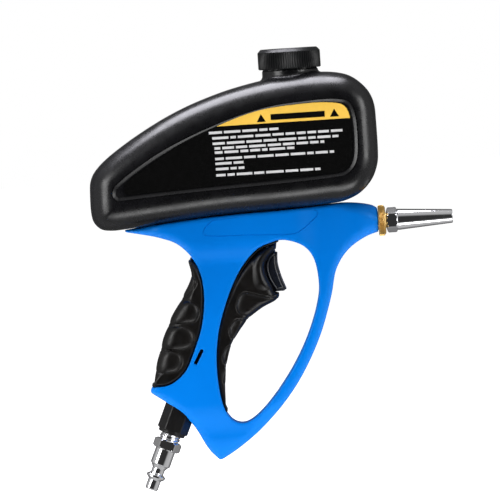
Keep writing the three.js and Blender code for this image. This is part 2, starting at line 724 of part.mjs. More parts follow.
function hopperForm(wall, steps) {
  const first = HOPPER_STATIONS[0][0];
  const last = HOPPER_STATIONS[HOPPER_STATIONS.length - 1][0];
  const middle = (first + last) / 2;
  const shrink = 1 - (2 * wall) / (last - first);
  const stations = HOPPER_STATIONS.filter((_, i) => wall === 0 || i % 2 === 0);
  const rings = stations.map(([x, low, high]) => {
    const distance = Math.min(x - first, last - x);
    const half = HOPPER_HALF - wall - endRound(distance, HOPPER_ROUND);
    const place = middle + (x - middle) * shrink;
    return roundedRing(place, low + wall, high - wall, half, HOPPER_ROUND - wall, steps);
  });
  return loft(rings);
}

const RECESS = outline([
  [[-52, 90.4], [-55.2, 94], [-54.6, 99.6], [-51, 103.4], [-23.4, 121.2], [15, 137.4],
    [47, 146.2], [70, 148.6], [93, 149], [102, 146.4], [105.6, 138], [105.6, 110.7],
    [103.2, 104.2], [97.5, 98.6], [88, 97], [-14.5, 92.6], [-52, 90.4]],
]);

const LABEL_OUTLINE = outline([
  [[-45.6, 94.6], [-47, 98], [-44.8, 103], [-31.5, 111.9], [-10, 124.6], [15.8, 135.6],
    [41.7, 143.6], [65.9, 146.2], [88, 146.3], [97.6, 144], [101.2, 138], [101.2, 110],
    [98.6, 103.4], [92, 100.6], [80, 100.2], [-14.3, 96], [-45.6, 94.6]],
]);

function hopper() {
  const neckAxis = at(NECK_X, 0, 0);
  const neck = join(
    bar(NECK_RADIUS, neckAxis, ALONG_Z, 158, NECK_TOP),
    bar(18.1, neckAxis, ALONG_Z, 158, CAP_LOW - 0.6),
  );
  const spout = bar(OUTLET_RADIUS, at(DROP_X, 0, 0), ALONG_Z, 72.8, 84);
  const tray = (from, to) => prism(RECESS, 'y', from, to);
  const outside = join(hopperForm(0, 4), neck, spout, hopperFoot(0));
  return cut(
    outside,
    hopperForm(HOPPER_WALL, 2),
    bar(NECK_BORE, neckAxis, ALONG_Z, 150, NECK_TOP + 1),
    bar(OUTLET_BORE, at(DROP_X, 0, 0), ALONG_Z, 70, 90),
    tray(-HOPPER_HALF - 1, LABEL_RECESS - HOPPER_HALF),
    tray(HOPPER_HALF - LABEL_RECESS, HOPPER_HALF + 1),
  );
}

function label(sign) {
  const inner = HOPPER_HALF - LABEL_RECESS + GAP;
  const outer = inner + LABEL_THICK;
  return sign > 0
    ? prism(LABEL_OUTLINE, 'y', inner, outer)
    : prism(LABEL_OUTLINE, 'y', -outer, -inner);
}

const hopperGasket = () =>
  bush(GASKET.outer, GASKET.inner, at(DROP_X, 0, 0), ALONG_Z, GASKET.low, GASKET.high, ROUND);

const cap = () =>
  turned(
    [
      [CAP_INNER, CAP_LOW], [CAP_RADIUS, CAP_LOW], [CAP_RADIUS, CAP_TOP - 2],
      [CAP_RADIUS - 2, CAP_TOP], [0, CAP_TOP], [0, CAP_TOP - 1.5], [CAP_INNER, CAP_TOP - 1.5],
      [CAP_INNER, CAP_LOW],
    ],
    at(NECK_X, 0, 0),
    ALONG_Z,
    36,
  );

const capLiner = () => bar(17.4, at(NECK_X, 0, 0), ALONG_Z, NECK_TOP + 0.2, CAP_TOP - 1.8);

const triggerPin = () =>
  bar(PIN.radius, at(PIN.x, 0, PIN.z), ALONG_Y, -11, 11, SMALL_ROUND);

// ---------------------------------------------------------------- the gun

const group = new THREE.Group();
group.name = 'media_blasting_gun';

function add(name, made, material) {
  const mesh = new THREE.Mesh(geometryOf(made), material);
  mesh.name = name;
  group.add(mesh);
}

add('body_shell_right', bodyHalf(-1), BLUE);
add('body_shell_left', bodyHalf(1), BLUE);
add('grip_pad_rear', gripRear(), GRIP_BLACK);
add('grip_pad_front', gripFront(), GRIP_BLACK);
add('trigger', trigger(), DARK_PLASTIC);
add('trigger_pin', triggerPin(), STEEL);
add('air_inlet_fitting', inletFitting(), DARK_PLASTIC);
add('inlet_hose', hose(INLET_TUBE, INLET_HOSE.radius, INLET_HOSE.bore, 8), HOSE);
add('valve_body', valveBody(), BRASS);
add('valve_stem', valveStem(), STEEL);
add('valve_spring', valveSpring(), STEEL);
add('valve_end_cap', valveCap(), BRASS);
add('stem_seal', stemSeal(), RUBBER);
add('jet_hose', hose(JET_TUBE, JET_HOSE.radius, JET_HOSE.bore, 8), HOSE);
add('air_jet', airJet(), BRASS);
add('mixing_block', mixingBlock(), ALLOY);
add('barrel', barrel(), BRASS);
add('knurled_ring', knurledRing(), BRASS);
add('nozzle_seal', nozzleSeal(), RUBBER);
add('nozzle', nozzle(), STEEL);
add('hopper', hopper(), HOPPER_BLACK);
add('hopper_gasket', hopperGasket(), RUBBER);
add('cap', cap(), HOPPER_BLACK);
add('cap_liner', capLiner(), RUBBER);
add('label_right', label(-1), LABEL);
add('label_left', label(1), LABEL);
for (const [place, screw] of Object.entries(BODY_SCREWS)) {
  add(`body_screw_${place}`, screwForm(screw), STEEL);
}
add('air_plug', airPlug(), STEEL);

export default group;
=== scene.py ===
import math

import bmesh
import bpy
import numpy as np
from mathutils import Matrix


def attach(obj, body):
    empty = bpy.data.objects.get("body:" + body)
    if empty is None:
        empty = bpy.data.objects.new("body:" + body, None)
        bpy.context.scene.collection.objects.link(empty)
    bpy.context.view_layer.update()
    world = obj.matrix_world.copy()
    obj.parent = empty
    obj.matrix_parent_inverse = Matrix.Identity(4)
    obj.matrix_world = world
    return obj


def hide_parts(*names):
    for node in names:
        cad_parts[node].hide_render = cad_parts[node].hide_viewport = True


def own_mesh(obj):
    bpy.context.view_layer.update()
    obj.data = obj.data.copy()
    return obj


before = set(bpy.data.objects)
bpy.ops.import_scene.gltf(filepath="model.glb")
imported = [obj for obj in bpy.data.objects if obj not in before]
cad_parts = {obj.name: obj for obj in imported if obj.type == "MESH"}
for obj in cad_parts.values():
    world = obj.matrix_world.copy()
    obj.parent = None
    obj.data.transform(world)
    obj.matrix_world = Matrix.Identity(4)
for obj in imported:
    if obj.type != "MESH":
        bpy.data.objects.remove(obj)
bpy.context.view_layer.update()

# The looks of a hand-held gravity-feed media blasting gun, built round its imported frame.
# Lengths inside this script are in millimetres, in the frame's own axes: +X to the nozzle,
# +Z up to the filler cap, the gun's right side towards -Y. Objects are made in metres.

import openvdb
from mathutils import Matrix, Vector

MM = 0.001
ROOT = "gun_body"


# ------------------------------------------------------------------ outlines and distances


def curve_points(run, step):
    """Points along a centripetal Catmull-Rom curve through a run, without its last point."""
    run = np.array(run, float)
    if len(run) == 2:
        return run[:1]
    ends = np.vstack([2 * run[0] - run[1], run, 2 * run[-1] - run[-2]])
    made = []
    for i in range(1, len(ends) - 2):
        p = ends[i - 1:i + 3]
        t = np.concatenate([[0], np.cumsum(np.sqrt(np.linalg.norm(np.diff(p, axis=0), axis=1)))])
        count = max(1, math.ceil(np.linalg.norm(p[2] - p[1]) / step))
        for u in t[1] + (t[2] - t[1]) * np.arange(count) / count:
            a = [(t[k + 1] - u) / (t[k + 1] - t[k]) * p[k] + (u - t[k]) / (t[k + 1] - t[k]) * p[k + 1]
                 for k in range(3)]
            b = [(t[k + 2] - u) / (t[k + 2] - t[k]) * a[k] + (u - t[k]) / (t[k + 2] - t[k]) * a[k + 1]
                 for k in range(2)]
            made.append((t[2] - u) / (t[2] - t[1]) * b[0] + (u - t[1]) / (t[2] - t[1]) * b[1])
    return np.array(made)


def outline(*runs, step=2.0):
    """A closed outline: each run is a smooth curve that ends at a corner, the next run's start."""
    whole = [run + after[:1] for run, after in zip(runs, runs[1:] + runs[:1])]
    return np.vstack([curve_points(run, step) for run in whole])


def smoothstep(low, high, value):
    t = np.clip((value - low) / (high - low), 0.0, 1.0)
    return t * t * (3.0 - 2.0 * t)


def smooth_max(a, b, k):
    h = np.maximum(k - np.abs(a - b), 0.0) / k
    return np.maximum(a, b) + h * h * k / 4.0


def smooth_min(a, b, k):
    return -smooth_max(-a, -b, k)


def knots(pairs, value):
    """A smooth function through (place, amount) pairs."""
    made = np.full(np.shape(value), float(pairs[0][1]))
    for (p0, a0), (p1, a1) in zip(pairs, pairs[1:]):
        made = made + (a1 - a0) * smoothstep(p0, p1, value)
    return made


def without(solid, *rooms):
    """A shape with rooms cut out of it."""
    for room in rooms:
        solid = np.maximum(solid, -room)
    return solid


def oblong(x0, x1, z0, z1):
    return [(x0, z0), (x1, z0), (x1, z1), (x0, z1)]


class Block:
    """A box of sample points that a shape's distances are worked out on."""

    def __init__(self, low, high, step):
        self.low = np.array(low, float)
        self.step = step
        axes = []
        for i in range(3):
            count = math.ceil((high[i] - low[i]) / step) + 1
            shape = [1, 1, 1]
            shape[i] = count
            axes.append((low[i] + step * np.arange(count)).astype(np.float32).reshape(shape))
        self.x, self.y, self.z = axes

    def flat(self, points, closed=True):
        """Distance to an outline in the side view, on every X and Z; negative inside it."""
        px = self.x[:, 0, 0][:, None]
        pz = self.z[0, 0, :][None, :]
        best = np.full((px.size, pz.size), 1e9, np.float32)
        inside = np.zeros(best.shape, bool)
        after = np.roll(points, -1, axis=0) if closed else points[1:]
        for (ax, az), (bx, bz) in zip(points, after):
            ex, ez = bx - ax, bz - az
            along = np.clip(((px - ax) * ex + (pz - az) * ez) / (ex * ex + ez * ez + 1e-12), 0, 1)
            best = np.minimum(best, (px - ax - along * ex) ** 2 + (pz - az - along * ez) ** 2)
            if closed and az != bz:
                crosses = (az > pz) != (bz > pz)
                inside ^= crosses & (px < ex * (pz - az) / ez + ax)
        made = np.sqrt(best)
        made[inside] *= -1.0
        return made[:, None, :]

    def bar(self, start, direction, radius, low, high):
        """Distance to a flat-ended round bar; low and high lie along the direction."""
        a = np.array(start, float)
        d = np.array(direction, float)
        d /= np.linalg.norm(d)
        vx, vy, vz = self.x - a[0], self.y - a[1], self.z - a[2]
        along = vx * d[0] + vy * d[1] + vz * d[2]
        across = np.sqrt(np.maximum(vx * vx + vy * vy + vz * vz - along * along, 0))
        return np.maximum(across - radius, np.maximum(low - along, along - high))

    def cuboid(self, low, high):
        """Distance to a box, near enough for cutting."""
        made = np.maximum(low[0] - self.x, self.x - high[0])
        made = np.maximum(made, np.maximum(low[1] - self.y, self.y - high[1]))
        return np.maximum(made, np.maximum(low[2] - self.z, self.z - high[2]))


def pillow(flat, half, y, radius):
    """A flat outline given thickness: half of it each side of Y = 0, with rounded edges."""
    a = flat + radius
    b = np.abs(y) - half + radius
    inner = np.minimum(np.maximum(a, b), 0)
    return inner + np.hypot(np.maximum(a, 0), np.maximum(b, 0)) - radius


# ------------------------------------------------------------------ meshes


def mesh_object(name, points, faces):
    """An object from points in millimetres and a list of faces."""
    mesh = bpy.data.meshes.new(name)
    mesh.from_pydata([tuple(p) for p in np.asarray(points) * MM], [], faces)
    mesh.update()
    made = bpy.data.objects.new(name, mesh)
    bpy.context.scene.collection.objects.link(made)
    return made


def surface(name, field, block):
    """The surface where a field of distances is zero, as an object."""
    limit = 3 * block.step
    grid = openvdb.FloatGrid(limit)
    grid.copyFromArray(np.ascontiguousarray(np.clip(field, -limit, limit), dtype=np.float32))
    grid.transform = openvdb.createLinearTransform(voxelSize=block.step)
    points, triangles, quads = grid.convertToPolygons(isovalue=0.0, adaptivity=0.0)
    points = points + block.low
    faces = [tuple(q[::-1]) for q in quads.tolist()] + [tuple(t[::-1]) for t in triangles.tolist()]
    return mesh_object(name, points, faces)


def sharpen(obj, degrees=35.0):
    """Smooth shading, with the edges that turn by more than an angle kept sharp."""
    mesh = obj.data
    count = len(mesh.polygons)
    normals = np.empty(count * 3, np.float32)
    mesh.polygons.foreach_get("normal", normals)
    normals = normals.reshape(-1, 3)
    sizes = np.empty(count, np.int32)
    mesh.polygons.foreach_get("loop_total", sizes)
    owner = np.repeat(np.arange(count), sizes)
    edge = np.empty(len(mesh.loops), np.int32)
    mesh.loops.foreach_get("edge_index", edge)
    order = np.argsort(edge, kind="stable")
    edge, owner = edge[order], owner[order]
    same = edge[1:] == edge[:-1]
    turn = np.einsum("ij,ij->i", normals[owner[1:][same]], normals[owner[:-1][same]])
    sharp = np.zeros(len(mesh.edges), bool)
    sharp[edge[1:][same]] = turn < math.cos(math.radians(degrees))
    mesh.polygons.foreach_set("use_smooth", np.ones(count, bool))
    mesh.edges.foreach_set("use_edge_sharp", sharp)
    mesh.update()
    return obj


def cut_by(obj, *tools):
    """Cut closed tools out of a closed object, then drop the tools."""
    for tool in tools:
        step = obj.modifiers.new("cut", "BOOLEAN")
        step.operation = "DIFFERENCE"
        step.solver = "MANIFOLD"
        step.object = tool
        with bpy.context.temp_override(object=obj, active_object=obj, selected_objects=[obj]):
            bpy.ops.object.modifier_apply(modifier=step.name)
        bpy.data.objects.remove(tool, do_unlink=True)
    return obj


def join_all(name, objects):
    """Several objects as one, under a new name."""
    whole = bmesh.new()
    paints = []
    for part in objects:
        start = len(whole.faces)
        whole.from_mesh(part.data)
        for paint in part.data.materials:
            if paint not in paints:
                paints.append(paint)
        if part.data.materials:
            slot = paints.index(part.data.materials[0])
            whole.faces.ensure_lookup_table()
            for face in whole.faces[start:]:
                face.material_index = slot
    mesh = bpy.data.meshes.new(name)
    for paint in paints:
        mesh.materials.append(paint)
    whole.to_mesh(mesh)
    whole.free()
    for part in objects:
        bpy.data.objects.remove(part, do_unlink=True)
    made = bpy.data.objects.new(name, mesh)
    bpy.context.scene.collection.objects.link(made)
    return made


def facing(direction):
    """A turn that carries +Z to a direction and, unless that is along Y, keeps +Y in place."""
    up = Vector(direction).normalized()
    guide = Vector((0, 0, 1)) if abs(up.y) > 0.9 else Vector((0, 1, 0))
    across = guide.cross(up).normalized()
    return Matrix((across, up.cross(across), up)).transposed()


def placed(points, start, direction):
    turn = np.array(facing(direction))
    return np.asarray(points) @ turn.T + np.array(start)


def turned(name, profile, start, direction, sides=96, radius_at=None):
    """A turned piece from [radius, distance] pairs; a closed profile makes a ring."""
    ring = list(profile)
    closed = ring[0] == ring[-1]
    if closed:
        ring = ring[:-1]
    points, faces = [], []
    rows = []
    for row, (radius, along) in enumerate(ring):
        if radius < 1e-6:
            rows.append([len(points)] * sides)
            points.append((0, 0, along))
            continue
        rows.append(list(range(len(points), len(points) + sides)))
        for i in range(sides):
            angle = 2 * math.pi * i / sides
            r = radius_at(row, angle, radius) if radius_at else radius
            points.append((r * math.cos(angle), r * math.sin(angle), along))
    pairs = list(zip(rows, rows[1:] + rows[:1])) if closed else list(zip(rows, rows[1:]))
    for low, high in pairs:
        for i in range(sides):
            j = (i + 1) % sides
            face = [low[i], low[j], high[j], high[i]]
            face = [v for k, v in enumerate(face) if v != face[k - 1]]
            if len(face) > 2:
                faces.append(face)
    return outward(mesh_object(name, placed(points, start, direction), faces))


def outward(obj):
    whole = bmesh.new()
    whole.from_mesh(obj.data)
    bmesh.ops.recalc_face_normals(whole, faces=whole.faces)
    whole.to_mesh(obj.data)
    whole.free()
    return obj


def prism(name, points, low, high):
    """A side-view outline carried along Y."""
    count = len(points)
    corners = [(x, low, z) for x, z in points] + [(x, high, z) for x, z in points]
    faces = [list(range(count)), list(range(count, 2 * count))[::-1]]
    for i in range(count):
        j = (i + 1) % count
        faces.append([i, i + count, j + count, j])
    return outward(mesh_object(name, corners, faces))


def sweep(name, points, radius, sides=10):
    """A closed round tube round a closed loop of points, or along an open line with caps."""
    path = [Vector(p) for p in points]
    closed = (path[0] - path[-1]).length < 1e-6
    if closed:
        path = path[:-1]
    count = len(path)
    corners, faces = [], []
    side = None
    for i, here in enumerate(path):
        before = path[i - 1] if closed or i else here
        after = path[(i + 1) % count] if closed or i + 1 < count else here
        ahead = (after - before).normalized()
        if side is None:
            side = ahead.orthogonal().normalized()
        side = (side - ahead * side.dot(ahead)).normalized()
        up = ahead.cross(side)
        for k in range(sides):
            angle = 2 * math.pi * k / sides
            corners.append(here + radius * (math.cos(angle) * side + math.sin(angle) * up))
    for i in range(count if closed else count - 1):
        for k in range(sides):
            a, b = i * sides + k, i * sides + (k + 1) % sides
            c, d = ((i + 1) % count) * sides + (k + 1) % sides, ((i + 1) % count) * sides + k
            faces.append([a, b, c, d])
    if not closed:
        faces.append(list(range(sides))[::-1])
        faces.append(list(range((count - 1) * sides, count * sides)))
    return outward(mesh_object(name, corners, faces))


# ------------------------------------------------------------------ materials


class Paint:
    """A procedural material: a Principled shader with noise, bump and roughness of its own."""

    def __init__(self, name, colour, roughness, metallic=0.0):
        self.material = bpy.data.materials.new(name)
        self.material.use_nodes = True
        self.nodes = self.material.node_tree.nodes
        self.links = self.material.node_tree.links
        self.shader = self.nodes["Principled BSDF"]
        self.shader.inputs["Base Color"].default_value = (*colour, 1.0)
        self.shader.inputs["Roughness"].default_value = roughness
        self.shader.inputs["Metallic"].default_value = metallic
        place = self.nodes.new("ShaderNodeTexCoord")
        self.place = place.outputs["Object"]
        self.normal = None

    def set(self, **values):
        for name, value in values.items():
            self.shader.inputs[name.replace("_", " ")].default_value = value
        return self

    def noise(self, scale, detail=3.0, stretch=(1, 1, 1)):
        turn = self.nodes.new("ShaderNodeMapping")
        turn.inputs["Scale"].default_value = stretch
        self.links.new(self.place, turn.inputs["Vector"])
        made = self.nodes.new("ShaderNodeTexNoise")
        made.inputs["Scale"].default_value = scale
        made.inputs["Detail"].default_value = detail
        self.links.new(turn.outputs["Vector"], made.inputs["Vector"])
        return made.outputs["Fac"]

    def ramp(self, source, low, high, start=0.35, end=0.65):
        """Colours or values between low and high, as a source goes from start to end."""
        made = self.nodes.new("ShaderNodeMapRange")
        made.inputs["From Min"].default_value = start
        made.inputs["From Max"].default_value = end
        made.inputs["To Min"].default_value = low
        made.inputs["To Max"].default_value = high
        self.links.new(source, made.inputs["Value"])
        return made.outputs["Result"]

    def tint(self, source, first, second):
        made = self.nodes.new("ShaderNodeMix")
        made.data_type = "RGBA"
        made.inputs["A"].default_value = (*first, 1.0)
        made.inputs["B"].default_value = (*second, 1.0)
        self.links.new(source, made.inputs["Factor"])
        self.links.new(made.outputs["Result"], self.shader.inputs["Base Color"])
        return self

    def rough(self, source, low, high):
        self.links.new(self.ramp(source, low, high), self.shader.inputs["Roughness"])
        return self

    def bump(self, source, height, strength=1.0):
        """Height is in millimetres."""
        made = self.nodes.new("ShaderNodeBump")
        made.inputs["Strength"].default_value = strength
        made.inputs["Distance"].default_value = height * MM
        self.links.new(source, made.inputs["Height"])
        if self.normal is not None:
            self.links.new(self.normal, made.inputs["Normal"])
        self.normal = made.outputs["Normal"]
        self.links.new(self.normal, self.shader.inputs["Normal"])
        return self


def plain(name, colour, roughness, rough, bump, metallic=0.0, cloud=None, **settings):
    """A paint of one kind of grain. Noise is given by scale and detail: rough adds the range of
    the roughness, bump adds a height in millimetres, and cloud adds the two colours it lies between."""
    paint = Paint(name, colour, roughness, metallic)
    paint.set(**settings)
    if cloud:
        paint.tint(paint.ramp(paint.noise(*cloud[:2]), 0, 1), *cloud[2:])
    paint.rough(paint.noise(*rough[:2]), *rough[2:])
    return paint.bump(paint.noise(*bump[:2]), bump[2]).material


def polished_steel():
    paint = Paint("polished_steel", (0.93, 0.93, 0.95), 0.09, 1.0)
    rings = paint.noise(40, 2, (40, 1, 1))
    paint.rough(rings, 0.06, 0.13)
    return paint.bump(rings, 0.004).material


def air_hose():
    paint = Paint("air_hose", (0.02, 0.03, 0.045), 0.5)
    braid = paint.nodes.new("ShaderNodeTexWave")
    braid.inputs["Scale"].default_value = 500
    braid.inputs["Distortion"].default_value = 2
    paint.links.new(paint.place, braid.inputs["Vector"])
    paint.rough(braid.outputs["Fac"], 0.4, 0.6)
    return paint.bump(braid.outputs["Fac"], 0.05).material


def film(name, colour, roughness):
    """Printed vinyl film: nearly even, with a faint orange peel."""
    darker = tuple(0.93 * c for c in colour)
    return plain(name, colour, roughness, (500, 3, roughness - 0.03, roughness + 0.05),
                 (500, 3, 0.004), cloud=(90, 3, darker, colour))


PAINTS = {
    "blue": plain("blue_plastic", (0.0, 0.18, 0.68), 0.34, (900, 4, 0.3, 0.38), (2400, 3, 0.012),
                  cloud=(18, 2, (0.0, 0.172, 0.66), (0.0, 0.188, 0.71)),
                  Specular_IOR_Level=0.25, Specular_Tint=(0.3, 0.7, 1.0, 1.0)),
    "hopper": plain("hopper_plastic", (0.003, 0.003, 0.0035), 0.3,
                    (160, 4, 0.24, 0.31), (1400, 3, 0.015),
                    cloud=(30, 3, (0.002, 0.002, 0.0025), (0.004, 0.004, 0.005))),
    "grip": plain("grip_rubber", (0.004, 0.0035, 0.003), 0.36,
                  (300, 5, 0.3, 0.42), (2000, 4, 0.03),
                  cloud=(60, 3, (0.003, 0.0026, 0.0023), (0.006, 0.005, 0.0045)),
                  Specular_IOR_Level=0.35),
    "trigger": plain("trigger_plastic", (0.006, 0.008, 0.014), 0.3,
                     (250, 4, 0.26, 0.36), (1800, 3, 0.015)),
    "inlet": plain("inlet_plastic", (0.005, 0.0045, 0.0045), 0.4,
                   (400, 4, 0.34, 0.46), (2500, 3, 0.02), Specular_IOR_Level=0.4),
    "cap": plain("cap_plastic", (0.004, 0.0045, 0.005), 0.36,
                 (300, 4, 0.32, 0.42), (1500, 3, 0.015), Specular_IOR_Level=0.3),
    "polished": polished_steel(),
    "steel": plain("machined_steel", (0.55, 0.55, 0.57), 0.3,
                   (700, 3, 0.22, 0.36), (700, 3, 0.006), 1.0),
    "brass": plain("machined_brass", (0.86, 0.55, 0.16), 0.4,
                   (600, 3, 0.34, 0.46), (600, 3, 0.006), 0.85,
                   cloud=(120, 3, (0.80, 0.50, 0.14), (0.92, 0.62, 0.22))),
    "alloy": plain("cast_alloy", (0.42, 0.42, 0.44), 0.45,
                   (500, 5, 0.38, 0.55), (500, 5, 0.03), 1.0),
    "seal": plain("seal_rubber", (0.012, 0.012, 0.012), 0.7,
                  (900, 3, 0.6, 0.8), (900, 3, 0.02)),
    "hose": air_hose(),
    "film_black": film("film_black", (0.002, 0.002, 0.002), 0.22),
    "film_yellow": film("film_yellow", (1.0, 0.62, 0.09), 0.4),
    "film_white": film("film_white", (0.7, 0.7, 0.7), 0.45),
}


def finished(obj, paint, body, *nodes, slot=None, degrees=35.0):
    """Give a piece its finish, its body and the CAD nodes that it stands for."""
    obj.data.materials.clear()
    obj.data.materials.append(PAINTS[paint])
    sharpen(obj, degrees)
    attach(obj, body)
    if nodes:
        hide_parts(*nodes)
    return obj


# ------------------------------------------------------------------ shared sizes

GAP = 0.3  # clearance round every piece that the body holds
WALL = 2.5  # of the body halves and of the hopper
BOSS, SCREW_HOLE, HEAD_HOLE = 3.6, 1.65, 3.15  # radii round a case screw
BLIND_HOLE = 8.15  # how deep a screw reaches into the right half
ALONG, ACROSS, UP = (1, 0, 0), (0, 1, 0), (0, 0, 1)
HOPPER_HALF = 30.0
BEAM_HALF = 19.0
CORE_HALF = 12.5
COLLAR_X = 115.8
BORE_Z = 67.0
DROP_X = 62.0
NECK_X = 64.9
CAP_LOW = 169.4
CAP_TOP = 182.6
NECK_TOP = 179.5
LABEL_Z = 135.35  # where the label turns from black to yellow
INLET_END = (-27.3, 0.0, -63.0)
INLET_AXIS = (0.40019, 0.0, 0.91643)
PIN = (43.5, 0.0, 54.2)
VALVE_Z = 41.0
BORE = (0, 0, BORE_Z)
VALVE = (0, 0, VALVE_Z)
DROP = (DROP_X, 0, 0)
VALVE_NECK_LOW, VALVE_NECK_HIGH = (8, 0, 0), (15.5, 0, 0)
THREAD_PITCH = 4.23  # of the filler neck
BARREL_PITCH = 1.337
PLUG_PITCH = 1.41
FLOOR_Z = -120.0
SCREWS = {
    "tail": (-24, 69.4, 14.2),
    "beam": (30, 57.5, 16),
    "front": (93, 54.5, 9.6),
    "bow_top": (79.8, 30, 11),
    "bow_low": (47, -41, 10.4),
    "foot": (6, -67, 7.4),
}

BODY = outline(
    [(-49, 71.4), (-27, 73.9), (15.6, 77.1), (56.7, 78.3)],
    [(92.6, 80.2), (98.4, 80), (107, 78.9), (113.2, 77.2), (116, 75.4)],
    [(124, 74.6)],
    [(124, 60.5), (116, 59.9), (106.7, 57), (94.8, 49.2), (87, 38), (82.5, 20.7), (73.6, -4.8),
     (60.2, -30), (46.6, -48), (29.8, -64.7), (13.4, -76.7)],
    [(5.3, -81.4)],
    [(3.3, -81.8), (-3, -74.7), (-12.1, -58.2), (-21.8, -47.2)],
    [(-37.9, -35.3), (-38.8, -34)],
    [(-37, -30.7), (-27.9, -30.4), (-21.8, -27.6), (-15.3, -21.8), (-9.2, -9.8), (-3.1, 6.7),
     (-0.4, 27.4), (-3.7, 46.5), (-14.2, 59.7), (-25.6, 65)],
    [(-48.1, 70.1)],
)
OPENING = outline(
    [(48.9, 59), (36.9, 54.6), (24, 40.8), (12, 15.5), (6.8, -3.7), (5.3, -25.7), (8.4, -47.4),
     (13.4, -55.6), (18.5, -58.1), (23.8, -57.5), (34, -50.2), (51.7, -28.8), (64.9, -5.9),
     (72.8, 15.3), (74.9, 27.7), (72.2, 46.4), (66.2, 54.3), (55.4, 58.7)],
)
HOLLOW = outline(
    [(-30, 70.4), (15.6, 74.5), (56.7, 75.7)],
    [(92.6, 77.3)],
    [(106, 75.6)],
    [(106, 59.8), (92.5, 50.5), (84.5, 38.6), (80, 21.4), (71.2, -3.6), (58, -28.5),
     (44.7, -46.1), (28.1, -62.7)],
    [(12, -74.4)],
    [(1, -75), (-9.9, -56.6), (-20, -45.2)],
    [(-30, -37.5)],
    [(-30, -25), (-19, 5), (-10, 22)],
    [(-3.2, 33), (-1.1, 47.5), (-11.8, 61.6)],
    [(-24.6, 67.5)],
)
CORE_REAR = outline(
    [(-5, 45), (-5, 36), (-9.5, 25.5), (-22.3, 5), (-29.5, -14)],
    [(-33, -28), (-20, -28), (-10, -12), (0, 12), (2, 35)],
    [(-3, 46.5)],
)
CORE_FRONT = outline(
    [(20, 28)],
    [(31, 22), (24, 11), (12.5, -6.5), (8, -22)],
    [(7, -40), (4, -25), (5, 0)],
    [(12, 20)],
)
PAD_REAR = outline(
    [(-36.3, -30), (-33.9, -19.3), (-25.1, 6.2), (-14.9, 23.8), (-9.3, 33.2), (-7.3, 39.6)],
    [(-8.9, 49)],
    [(-7.2, 49.4), (-3.7, 43), (-1.2, 33.9), (-1.1, 26), (-3.8, 6.7), (-9.9, -9.6),
     (-15.9, -21.5), (-22.2, -27.2), (-28.5, -29.9)],
)
PAD_FRONT = outline(
    [(49.3, 58.4)],
    [(48.5, 53.5), (45.8, 51), (40.4, 42)],
    [(45.7, 25.6)],
    [(48.8, 24.4), (48.2, 21.6), (37, 16), (26.7, 8.4), (15.9, -6.2), (11.6, -19), (10, -32)],
    [(9.4, -49.3), (6, -26), (7.5, -3.9), (12.7, 15.2), (24.6, 40.5), (37.2, 54.2),
     (46.5, 58.2)],
)
TRIGGER_FRONT = ([(46.6, 51.2)], [(49.3, 50.9), (49.1, 44), (51, 35)], [(53.8, 27)], [(51.9, 25.7)])
TRIGGER_FACE = outline(
    *TRIGGER_FRONT,
    [(47, 25.6), (42.2, 35), (41.2, 43), (43.4, 48.4)],
)
TRIGGER_WHOLE = outline(
    *TRIGGER_FRONT,
    [(45.4, 25.6), (39.6, 35), (38.4, 43), (41.4, 49.4)],
)
TRIGGER_EAR = outline([(42, 42)], [(48, 46)], [(48, 52)],
                      [(45.7, 55.4)], [(42, 56)], [(40.9, 52.5)])
HOPPER = outline(
    [(-49.2, 72.2), (-56, 71.9), (-62.9, 72.9), (-66.3, 75.4), (-68.6, 79), (-69.6, 84.5),
     (-69.5, 98.3), (-69, 103.5), (-67.4, 107.9), (-65.4, 111), (-60.1, 116.4), (-44.4, 127.6),
     (-21.4, 140.8), (-3.3, 149), (12.1, 154.4), (25.3, 158.2), (45.9, 162.5), (65, 165),
     (83.4, 165.9), (94, 165), (101.9, 162.9), (107.5, 159.6), (111.8, 155.6), (114.6, 152),
     (116.8, 147.5), (118.2, 141.5), (118.5, 134), (118.5, 112), (117.9, 105.7), (115.4, 98.1),
     (111.8, 92.4), (107.4, 88), (102.7, 84.8), (94, 81.6), (83.4, 80.4), (56.7, 78.8),
     (15.6, 77.4), (-27, 74.2)],
)
RECESS = outline(
    [(-52, 90.4), (-55.2, 94), (-54.6, 99.6), (-51, 103.4), (-23.4, 121.2), (15, 137.4),
     (47, 146.2), (70, 148.6), (93, 149), (102, 146.4), (105.6, 138), (105.6, 110.7),
     (103.2, 104.2), (97.5, 98.6), (88, 97), (-14.5, 92.6)],
)
LABEL = outline(
    [(-45.6, 94.6), (-47, 98), (-44.8, 103), (-31.5, 111.9), (-10, 124.6), (15.8, 135.6),
     (41.7, 143.6), (65.9, 146.2), (88, 146.3), (97.6, 144), (101.2, 138), (101.2, 110),
     (98.6, 103.4), (92, 100.6), (80, 100.2), (-14.3, 96)],
    step=1.0,
)
PANEL = outline([(8.9, 74.7), (40, 76.9), (70, 78), (75.4, 77), (77, 74.6), (74.6, 71.8),
                 (64.5, 64), (60, 62.7), (31, 63.8), (5, 65), (2, 66.6), (4, 70.6)])


# ------------------------------------------------------------------ blue body


def half_width(x, z):
    """Half the body's width at a place in the side view."""
    up = knots([(-86, 4.5), (-66, 9.5), (-44, 14.5), (-34, 14.5)], z)
    up = up + (BEAM_HALF - 14.5) * smoothstep(44, 62, z)
    along = knots([(-50, 8), (-22, BEAM_HALF), (56, BEAM_HALF), (80, 14.2), (101, 12), (124, 7.6)],
                  x)
    return smooth_min(up, along, 2.0)


